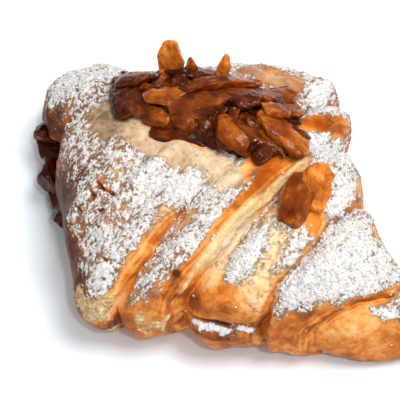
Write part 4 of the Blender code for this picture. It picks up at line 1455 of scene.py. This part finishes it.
# %% The apple material
APPLE_COLOURS = (
    (0.00, (0.028, 0.004, 0.001)), (0.20, (0.095, 0.014, 0.001)), (0.40, (0.23, 0.046, 0.003)),
    (0.60, (0.44, 0.115, 0.010)), (0.80, (0.70, 0.220, 0.032)), (1.00, (0.92, 0.370, 0.070)),
)
CINNAMON_COLOUR, CINNAMON_RANGE, CINNAMON_SHARE = (0.045, 0.010, 0.003), (0.66, 0.71), 0.7
CLOUDY_NOISE, FIBRE_NOISE = (170.0, 3.0, 0.5, 0.3), (850.0, 3.0, 0.55)
WAVY_NOISE, CINNAMON_NOISE = (480.0, 1.5, 0.5), (1350.0, 1.0)
TONE_FROM_CLOUDS, TONE_FROM_FIBRES = (0.60, -0.38), (0.16, -0.08)
ROUGHNESS_SPREAD, ROUGHNESS_DROP = 0.4, 0.1
WET_LOOK = {
    "Specular IOR Level": 0.03, "Specular Tint": (1.0, 0.60, 0.32, 1.0),
    "Subsurface Weight": 0.45, "Subsurface Radius": (1.0, 0.30, 0.06), "Subsurface Scale": 0.0022,
    "Coat Roughness": 0.06, "Coat IOR": 1.30,
}


def apple_material(name, least_roughness, bump_height, coat):
    """Amber flesh that darkens with the tone mask, cinnamon specks and a wet surface."""
    material, tree, shader, place = new_material(name)
    cloudy, fibres = noise(tree, place, *CLOUDY_NOISE), noise(tree, place, *FIBRE_NOISE)
    tone = maths(tree, "ADD", mask_of(tree, "tone"), scaled(tree, cloudy, *TONE_FROM_CLOUDS))
    tone = maths(tree, "ADD", tone, scaled(tree, fibres, *TONE_FROM_FIBRES))
    cinnamon = between(tree, noise(tree, place, *CINNAMON_NOISE), *CINNAMON_RANGE)
    share = maths(tree, "MULTIPLY", cinnamon, CINNAMON_SHARE)
    colour = blend_colour(tree, share, ramp(tree, tone, APPLE_COLOURS), CINNAMON_COLOUR)
    put(tree, colour, shader.inputs["Base Color"])
    roughness = scaled(tree, cloudy, ROUGHNESS_SPREAD, least_roughness - ROUGHNESS_DROP)
    put(tree, roughness, shader.inputs["Roughness"])
    for socket, value in WET_LOOK.items():
        shader.inputs[socket].default_value = value
    shader.inputs["Coat Weight"].default_value = coat
    wavy = bump(tree, shader, noise(tree, place, *WAVY_NOISE), bump_height)
    put(tree, wavy, shader.inputs["Coat Normal"])
    return material


APPLE = apple_material("cooked_apple", 0.22, 0.0007, 0.65)
SYRUP = apple_material("apple_syrup", 0.14, 0.0012, 0.6)
print("apple materials:", APPLE.name, SYRUP.name)

# %% [markdown]
# ## The shape of one slice
# A slice of cooked apple is a wedge: a slab with one thin edge, soft corners, flat sides where
# the knife went and a slight bend.  A slab with a squared oval section gives that, trimmed by a
# few planes, wrinkled and then turned and laid in its place.

# %% Sizes of a slice
SLICE_GRID = (40, 54)
# each slice draws its own value between these
THIN_EDGE, BEND, BLUNT_END, SWELL = (0.25, 0.6), 0.12, (0.65, 1.0), 0.12
SWELL_STATIONS = 7
SQUARENESS, END_POWER = 0.75, 4.5
POLE_ANGLE, BEND_MIDDLE = 0.09, 0.4
KNIFE_CUTS, CUT_DEPTH, CUT_SOFTNESS = 5, (0.60, 0.92), 0.94
CUT_FACING = np.array([1.0, 0.8, 0.10])
CUT_GROWTH = np.array([1.18, 1.30, 0.86])
SEED_SHIFT = 7.7
# height, cell, octaves, seed of the wrinkles, the fibres, the clouds of tone and its streaks
SKIN_WRINKLES, FIBRES, FIBRE_STRETCH = (0.45, 3.0, 2, 41), (0.20, 0.9, 2, 43), np.array([0.45, 1, 1])
TONE_CLOUDS, STREAKS, STREAK_STRETCH = (0.24, 3.6, 2, 45), (0.16, 1.3, 2, 47), np.array([0.25, 1, 1])
# the thin edge and the ends get a painted glow, as if light came through the thin flesh
RIM_EDGE, RIM_END, RIM_PAINTED_GLOW, RIM_GLOW_MEAN = (0.75, 0.98), (0.80, 0.97), 0.12, 0.05
print("points of one slice:", SLICE_GRID[0] * SLICE_GRID[1] + 2)


# %% A slab with knife cuts
def circle_angles(count):
    """Even angles round a whole turn, in one row."""
    return (np.arange(count) / count * 2 * math.pi)[None, :]


def trimmed(points, half_size, cuts):
    """Flat cuts: past each plane, a point is pushed back along the plane's normal."""
    shape = points / half_size
    for facing, depth in cuts:
        facing = np.array(facing) / np.linalg.norm(facing)
        excess = np.maximum(shape @ facing - depth, 0)
        shape = shape - CUT_SOFTNESS * excess[..., None] * facing
    return shape * half_size


def random_cuts(drawn):
    """A few knife cuts that face mostly to the slice's ends and sides."""
    return [(drawn.normal(size=3) * CUT_FACING, drawn.uniform(*CUT_DEPTH)) for _ in range(KNIFE_CUTS)]


def slab(size, drawn, along, angle, end_power, squareness):
    """A squared oval section with one thin edge, whose middle bends as the square of the way along.

    Its ends close as the root of 1 minus a power of the distance along it.
    """
    length, width, thickness = size
    thin_edge = drawn.uniform(*THIN_EDGE)
    bend = drawn.uniform(-BEND, BEND) * length
    blunt = drawn.uniform(*BLUNT_END)
    swell = 1 + drawn.uniform(-SWELL, SWELL, SWELL_STATIONS)
    end = np.clip(1 - np.abs(along) ** end_power, 0, 1) ** 0.5
    end = end * np.where(along > 0, 1 - (1 - blunt) * along, 1)
    wide = np.interp((along + 1) / 2, np.linspace(0, 1, SWELL_STATIONS), swell)
    y = width / 2 * end * wide * flattened(np.cos(angle), squareness)
    y = y + bend * (along ** 2 - BEND_MIDDLE)
    thick = 1 - thin_edge * np.cos(angle)
    z = thickness / 2 * end * thick * flattened(np.sin(angle), squareness)
    return np.stack(np.broadcast_arrays(-along * length / 2, y, -z), -1)


print("cuts of one slice:", len(random_cuts(np.random.default_rng(0))))


# %% Make one slice
def apple_slice(size, middle, turns, seed, tone, grid=SLICE_GRID, cuts=None, ground=None,
                end_power=END_POWER, squareness=SQUARENESS):
    """A trimmed and wrinkled slab, turned by heading, lift and roll and set on its middle.

    With a ground function the slice is laid on that surface and follows it.
    """
    rows, columns = grid
    drawn = np.random.default_rng(seed)
    along = -np.cos(np.linspace(POLE_ANGLE, math.pi - POLE_ANGLE, rows))[:, None]
    angle = circle_angles(columns)
    local = slab(size, drawn, along, angle, end_power, squareness)
    half_size = np.array(size) / 2
    if cuts is None:
        local = trimmed(local, half_size, random_cuts(drawn)) * CUT_GROWTH
    else:
        local = trimmed(local, half_size, cuts)
    seat = local + seed * SEED_SHIFT
    wrinkle = bumps(seat, SKIN_WRINKLES) + bumps(seat * FIBRE_STRETCH, FIBRES)
    local = local + grid_normals(local) * wrinkle[..., None]
    heading, lift, roll = turns
    turned = Euler([math.radians(a) for a in (roll, -lift, heading)], "XYZ").to_matrix()
    placed = local @ np.array(turned).T + np.array(middle)
    if ground is not None:
        placed[..., 2] += ground(placed[..., 0], placed[..., 1])
    # painted glow: the thin edge and the ends are made lighter
    rim = np.maximum(step_up(*RIM_EDGE, np.cos(angle)), step_up(*RIM_END, np.abs(along)))
    shade = tone + bumps(seat, TONE_CLOUDS) + bumps(seat * STREAK_STRETCH, STREAKS)
    return placed, shade + RIM_PAINTED_GLOW * rim - RIM_GLOW_MEAN


sample, _ = apple_slice((15, 7, 4), (0, 0, 0), (0, 0, 0), 1, 0.4)
print("a slice of 15 by 7 by 4 mm comes out as", np.ptp(sample.reshape(-1, 3), axis=0).round(1))


# %% Join slices into one mesh
def add_apple(name, parts, material, slot, stands_for):
    """Join many grids of points and tones into one piece: each grid's faces follow the last's."""
    vertices, triangles, tones = [], [], []
    count = 0
    for points, tone in parts:
        vertices.append(with_poles(points))
        tones.append(with_poles(tone))
        triangles.append(grid_triangles(*points.shape[:2]) + count)
        count += len(vertices[-1])
    masks = {"tone": np.concatenate(tones)}
    vertices, triangles = np.concatenate(vertices), np.concatenate(triangles)
    add_piece(name, vertices, triangles, masks, material, slot, [stands_for])


print("joined slices share the mask of their tone")

# %% [markdown]
# ## The heap on top
# The imported heap is a core with slices fused on.  Here the same slices lie over the same core
# with all their detail.  They lap like shingles, three stand up, and smaller scraps fill the
# gaps.  All that lie follow one smooth surface: the dough's top plus a low dome.  Slices and
# scraps that reach below that surface are darkened as painted shade.

# %% Surface of the heap
HEAP_MIDDLE, HEAP_HEADING = (-9.5, 9.0), math.radians(9.0)
HEAP_HALF_SIZE, HEAP_SINK = (34.0, 14.5, 7.8), 3.5
DOME_REACH, DOME_RISE = (36.0, 16.0), 5.4
GOLDEN_TURN = math.radians(137.5)


def turned_to(middle, heading, along, across):
    """Plan position of a point given along and across an oval with a middle and a heading."""
    cosine, sine = math.cos(heading), math.sin(heading)
    return middle[0] + along * cosine - across * sine, middle[1] + along * sine + across * cosine


def heap_top(x, y):
    """The dough's top plus a dome: its rise times 1 minus the squared distances in reaches."""
    along, across = turned_to((0, 0), -HEAP_HEADING, x - HEAP_MIDDLE[0], y - HEAP_MIDDLE[1])
    inside = 1 - (along / DOME_REACH[0]) ** 2 - (across / DOME_REACH[1]) ** 2
    return dough_top(x, y) + DOME_RISE * np.clip(inside, 0, None)


def heap_place(along, across):
    """Plan position of a point given along and across the heap's oval."""
    return turned_to(HEAP_MIDDLE, HEAP_HEADING, along, across)


def spiral(count, reach):
    """Places of an oval sunflower spiral, along and across: the golden turn spreads them evenly."""
    for number in range(count):
        out = math.sqrt((number + 0.5) / count) * reach
        turn = number * GOLDEN_TURN
        yield HEAP_HALF_SIZE[0] * out * math.cos(turn), HEAP_HALF_SIZE[1] * out * math.sin(turn)


print("top of the heap's smooth surface, mm:", round(float(heap_top(*HEAP_MIDDLE)), 1))

# %% Places of the slices
# x, y, height of the middle above the heap's surface, length, width, thickness,
# heading, lift, roll, tone
LAID_PIECES = (
    (-36.4, -5.0, 1.0, 17.0, 6.8, 4.0, -36, 4, 8, 0.24),
    (-30.6, -4.0, 1.6, 13.6, 5.6, 3.4, -36, 6, -10, 0.34),
    (-37.0, 2.5, 2.8, 11.7, 5.6, 3.0, 13, 0, 10, 0.44),
    (-42.0, 4.4, 1.2, 9.6, 5.5, 4.0, 60, 0, 0, 0.24),
    (-10.3, -6.6, 0.4, 18.2, 7.0, 4.2, 25, 0, -10, 0.28),
    (-22.1, -6.4, 1.6, 11.2, 6.3, 4.0, 9, 0, -14, 0.46),
    (-13.6, -2.5, 1.4, 9.2, 7.2, 4.0, 13, 4, -14, 0.44),
    (-5.5, -0.6, 0.4, 9.1, 4.8, 3.4, -47, 0, 20, 0.16),
    (4.3, 2.7, 1.6, 18.0, 7.6, 3.6, 4, 0, -8, 0.56),
    (11.3, 5.3, 1.2, 15.0, 5.8, 3.4, 1, 0, -6, 0.44),
    (16.4, 11.8, 2.1, 17.2, 8.4, 3.8, -1, 0, -10, 0.60),
    (10.9, 20.1, 1.6, 15.9, 7.9, 3.6, 63, 0, -12, 0.54),
    (-22.2, 0.0, 3.4, 12.8, 6.2, 3.0, 31, 0, -16, 0.64),
    (-9.9, 3.9, 3.4, 19.3, 9.5, 3.4, 38, -2, -12, 0.46),
    (-11.6, 13.2, 3.2, 26.7, 5.7, 3.0, 52, 0, -4, 0.42),
    (-1.8, 14.7, 2.4, 13.7, 9.7, 3.6, 53, 2, -10, 0.34),
    (3.6, 25.0, 1.6, 14.8, 8.4, 3.8, 54, 0, -6, 0.42),
    (-5.9, 22.7, 2.6, 11.3, 4.5, 3.0, 54, 0, 8, 0.48),
    (9.2, 16.9, 3.0, 9.5, 7.3, 3.0, 56, 0, -14, 0.54),
    (10.9, 25.4, 0.8, 12.4, 5.0, 3.4, -25, 0, 2, 0.44),
    (-25.0, 13.0, 2.0, 14.0, 8.0, 3.6, 40, 0, 6, 0.26),
    (-15.0, 20.0, 1.2, 14.0, 7.0, 3.6, 20, 0, 14, 0.32),
)
# the same with the height above the dough, and each with its own cuts
UPRIGHT_PIECES = (
    (-29.4, 12.2, 7.3, 19, 8.4, 3.4, 122, 66, 6, 0.74, (((1, -0.95, 0), 0.93), ((1, 1.6, 0), 1.08))),
    (-23.4, 15.6, 5.4, 9, 5, 3.6, 120, 60, 20, 0.50, (((1, -1, 0), 0.70), ((1, 1.2, 0), 0.80))),
    (-14.4, 20.3, 6.6, 12.5, 5.0, 3.4, 105, 57, -10, 0.64, (((1, 2.1, 0), 0.42), ((1, -0.2, 0), 0.98))),
)
FILLER_COUNT, FILLER_SIZE, FILLER_REACH, FILLER_TONE = 16, (11.0, 6.4, 3.2), 0.92, 0.26
# each filler draws the scale of its sides, its heading, lift and roll, and its height from these
FILLER_SCALE, FILLER_TURNS, FILLER_ABOVE = (0.8, 1.15), ((0, 180), (-12, 12), (-18, 18)), (0.0, 0.9)
UPRIGHT_SEED, FILLER_SEED, FILLER_DRAWS_SEED = 40, 100, 7
print("slices by hand:", len(LAID_PIECES) + len(UPRIGHT_PIECES))


# %% Lay the slices
def drawn_from(drawn, ranges):
    """One even random value from each range, in their order."""
    return [drawn.uniform(*ends) for ends in ranges]


def heap_slices():
    """The slices that lie on the heap like shingles, three that stand up, and fillers below."""
    slices = []
    for number, (x, y, above, *size, heading, lift, roll, tone) in enumerate(LAID_PIECES):
        turns = (heading, lift, roll)
        slices.append(apple_slice(size, (x, y, above), turns, number, tone, ground=heap_top))
    for number, (x, y, above, *size, heading, lift, roll, tone, cuts) in enumerate(UPRIGHT_PIECES):
        middle = (x, y, dough_top(x, y) + above)
        turns = (heading, lift, roll)
        slices.append(apple_slice(size, middle, turns, UPRIGHT_SEED + number, tone, cuts=cuts))
    drawn = np.random.default_rng(FILLER_DRAWS_SEED)
    for number, place in enumerate(spiral(FILLER_COUNT, FILLER_REACH)):
        size = [side * drawn.uniform(*FILLER_SCALE) for side in FILLER_SIZE]
        turns = drawn_from(drawn, FILLER_TURNS)
        middle = (*heap_place(*place), drawn.uniform(*FILLER_ABOVE))
        seed = FILLER_SEED + number
        slices.append(apple_slice(size, middle, turns, seed, FILLER_TONE, ground=heap_top))
    return slices


print("fillers between them:", FILLER_COUNT)


# %% The scraps, and painted shade deep in the heap
SCRAP_COUNT, SCRAP_REACH, SCRAP_GRID, SCRAP_SEED, SCRAP_DRAWS_SEED = 90, 0.98, (16, 22), 300, 23
# each scrap draws its shift along and across, its sides, its heading, lift and roll, its height
# above the heap's surface and its tone from these
SCRAP_SHIFTS, SCRAP_SIDES = ((-2, 2), (-1.5, 1.5)), ((3.5, 8), (2.6, 4.6), (1.2, 2.2))
SCRAP_TURNS, SCRAP_ABOVE, SCRAP_TONES = ((0, 180), (-16, 16), (-22, 22)), (0.4, 2.2), (0.12, 0.46)
# painted shade deep in the heap: heights above its surface where it begins and is full, and how much
# tone it takes
DEEP_SHADE_LEVELS, DEEP_SHADE_TONE = (1.6, -1.2), 0.30
CORE_GRID, CORE_POLE = (90, 150), 0.04
# height, cell, octaves and seed of the core's pulp and of its tone, with the middle of each
PULP, PULP_HEIGHT = (1.0, 3.4, 4, 51), 0.5
CORE_CLOUDS, CORE_TONE = (0.2, 3.0, 2, 53), 0.12


def heap_scraps():
    """Small soft bits of apple, tucked between the slices."""
    drawn = np.random.default_rng(SCRAP_DRAWS_SEED)
    scraps = []
    for number, (along, across) in enumerate(spiral(SCRAP_COUNT, SCRAP_REACH)):
        shift = drawn_from(drawn, SCRAP_SHIFTS)
        x, y = heap_place(along + shift[0], across + shift[1])
        size = drawn_from(drawn, SCRAP_SIDES)
        turns = drawn_from(drawn, SCRAP_TURNS)
        above, tone = drawn_from(drawn, (SCRAP_ABOVE, SCRAP_TONES))
        scraps.append(apple_slice(size, (x, y, above), turns, SCRAP_SEED + number, tone, SCRAP_GRID,
                                  ground=heap_top))
    return scraps


def painted_shade_deep_in_heap(parts):
    """Painted shade: darken what lies deep in the heap, from a little above its smooth surface
    downwards.
    """
    for points, tone in parts:
        above = points[..., 2] - heap_top(points[..., 0], points[..., 1])
        yield points, tone - DEEP_SHADE_TONE * step_up(*DEEP_SHADE_LEVELS, above)


def roughened(points, lumps, height, clouds, tone):
    """Lumps added to the points along their normals, and clouds of tone."""
    lumpy = height + bumps(points, lumps)
    return points + grid_normals(points) * lumpy[..., None], tone + bumps(points, clouds)


print("scraps:", SCRAP_COUNT)


# %% The core and the whole heap
def heap_core():
    """The heap's oval core: an ellipsoid that follows the dough's top, roughened into pulp."""
    turn = np.linspace(CORE_POLE, math.pi - CORE_POLE, CORE_GRID[0])[:, None]
    angle = circle_angles(CORE_GRID[1])
    along = HEAP_HALF_SIZE[0] * np.sin(turn) * np.cos(angle)
    across = HEAP_HALF_SIZE[1] * np.sin(turn) * np.sin(angle)
    x, y = heap_place(along, across)
    z = dough_top(x, y) - HEAP_SINK - HEAP_HALF_SIZE[2] * np.cos(turn)
    return roughened(np.stack([x, y, z], -1), PULP, PULP_HEIGHT, CORE_CLOUDS, CORE_TONE)


add_apple("apple_heap_core", [heap_core()], SYRUP, "cooked_apple", "apple_heap")
# slices and scraps get painted shade where they lie deep in the heap
for name, parts in (("apple_heap_slices", heap_slices()), ("apple_heap_scraps", heap_scraps())):
    add_apple(name, painted_shade_deep_in_heap(parts), APPLE, "cooked_apple", "apple_heap")

# %% [markdown]
# ## Two slices on the right arm
# A darker and a brighter slice fell on the third turn and stained the crust below them.  They
# are thick and blunt, and the knife's flat cuts show, so each has its own list of cuts: the way
# that a cut faces, and its distance from the middle in half sizes.

# %% The two slices
CLUMP_GRID, CLUMP_END_POWER, CLUMP_SQUARENESS, CLUMP_SEED = (70, 96), 7.0, 0.55, 30
DARK_CUTS = (
    ((1, 1.1, 0), 0.98), ((-1, -1.0, 0), 0.92), ((0.15, 0.25, 1), 0.72), ((-0.9, 0.1, 1), 0.92),
    ((0.1, 1, 0.5), 0.86), ((-1, 0.25, 0), 0.93),
)
BRIGHT_CUTS = (
    ((1, 0.55, 0), 0.92), ((-0.35, -1, 0), 0.80), ((0.2, -0.2, 1), 0.74), ((-1, 0.2, 0.7), 0.90),
    ((1, -0.8, 0.1), 1.02), ((-0.2, 1, 0.6), 0.86),
)
# name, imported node, slot, x, y, height above the dough, size, heading, lift and roll, tone, cuts
CLUMP_PIECES = (
    ("apple_slice_dark", "apple_piece_dark", "cooked_apple", 33.7, -4.8, 1.0, (20, 11.8, 7.0),
     (112, 2, -8), 0.52, DARK_CUTS),
    ("apple_slice_bright", "apple_piece_bright", "bright_apple", 36.5, 2.6, 3.2, (16, 10.6, 7.0),
     (118, 6, 10), 0.78, BRIGHT_CUTS),
)
for number, (name, stands_for, slot, x, y, above, size, turns, tone, cuts) in enumerate(CLUMP_PIECES):
    middle = (x, y, dough_top(x, y) + above)
    part = apple_slice(size, middle, turns, CLUMP_SEED + number, tone, CLUMP_GRID, cuts,
                       end_power=CLUMP_END_POWER, squareness=CLUMP_SQUARENESS)
    add_apple(name, [part], APPLE, slot, stands_for)

# %% [markdown]
# ## The filling at the left side
# A thick dark layer of apple runs through the croissant and bulges out of the near left side.
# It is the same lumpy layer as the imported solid, with slices that hang out of the mouth.

# %% The filling
FILLING_MIDDLE, FILLING_HEADING = (-39.5, -9.5, 12.5), math.radians(-41.0)
FILLING_HALF_SIZE, FILLING_POWER = (25.0, 18.0, 5.4), 3.0
FILLING_GRID, FILLING_POLE = (70, 260), 0.05
# share of the outline, waves round it, phase
FILLING_LUMPS = ((0.035, 9, 0.8), (0.022, 17, 2.4))
FILLING_PULP, FILLING_CLOUDS, FILLING_TONE = (0.9, 4.0, 3, 61), (0.25, 3.0, 2, 63), 0.12
# x, y, z, length, width, thickness, heading, lift, roll
RIM_PIECES = (
    (-64, -14, 13, 14, 8, 6, -62, 25, 10), (-59, -19, 11, 15, 8, 7, -30, -8, 30),
    (-51, -26, 12.5, 17, 9, 8, -48, 8, -20), (-45, -31, 10, 15, 9, 6, -20, -6, 15),
    (-38, -36, 11.5, 16, 8, 7, -50, 12, 40),
)
RIM_PIECE_TONE, RIM_PIECE_SEED = 0.18, 50


def filling_layer():
    """A flat superellipsoid whose outline swells and shrinks with sine waves, and a rough surface."""
    power = 2 / FILLING_POWER
    turn = np.linspace(FILLING_POLE, math.pi - FILLING_POLE, FILLING_GRID[0])[:, None]
    angle = circle_angles(FILLING_GRID[1])
    flat = np.abs(np.sin(turn)) ** power
    for share, waves, phase in FILLING_LUMPS:
        flat = flat * (1 + share * np.sin(waves * angle + phase))
    along = FILLING_HALF_SIZE[0] * flat * flattened(np.cos(angle), power)
    across = FILLING_HALF_SIZE[1] * flat * flattened(np.sin(angle), power)
    x, y = turned_to(FILLING_MIDDLE, FILLING_HEADING, along, across)
    z = FILLING_MIDDLE[2] - FILLING_HALF_SIZE[2] * flattened(np.cos(turn), power) + 0 * angle
    return roughened(np.stack([x, y, z], -1), FILLING_PULP, 0.0, FILLING_CLOUDS, FILLING_TONE)


filling = [filling_layer()]
for number, row in enumerate(RIM_PIECES):
    filling.append(apple_slice(row[3:6], row[:3], row[6:], RIM_PIECE_SEED + number, RIM_PIECE_TONE))
add_apple("apple_filling_layer", filling, APPLE, "apple_filling", "apple_filling")

# %% Write the sizes and finish
visual_bounds = [list(corner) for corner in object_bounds()]
for axis, name in enumerate("XYZ"):
    cad = cad_bounds[1][axis] - cad_bounds[0][axis]
    seen = visual_bounds[1][axis] - visual_bounds[0][axis]
    print(f"{name}: packed {cad / MM:.1f} mm, dressed {seen / MM:.1f} mm")
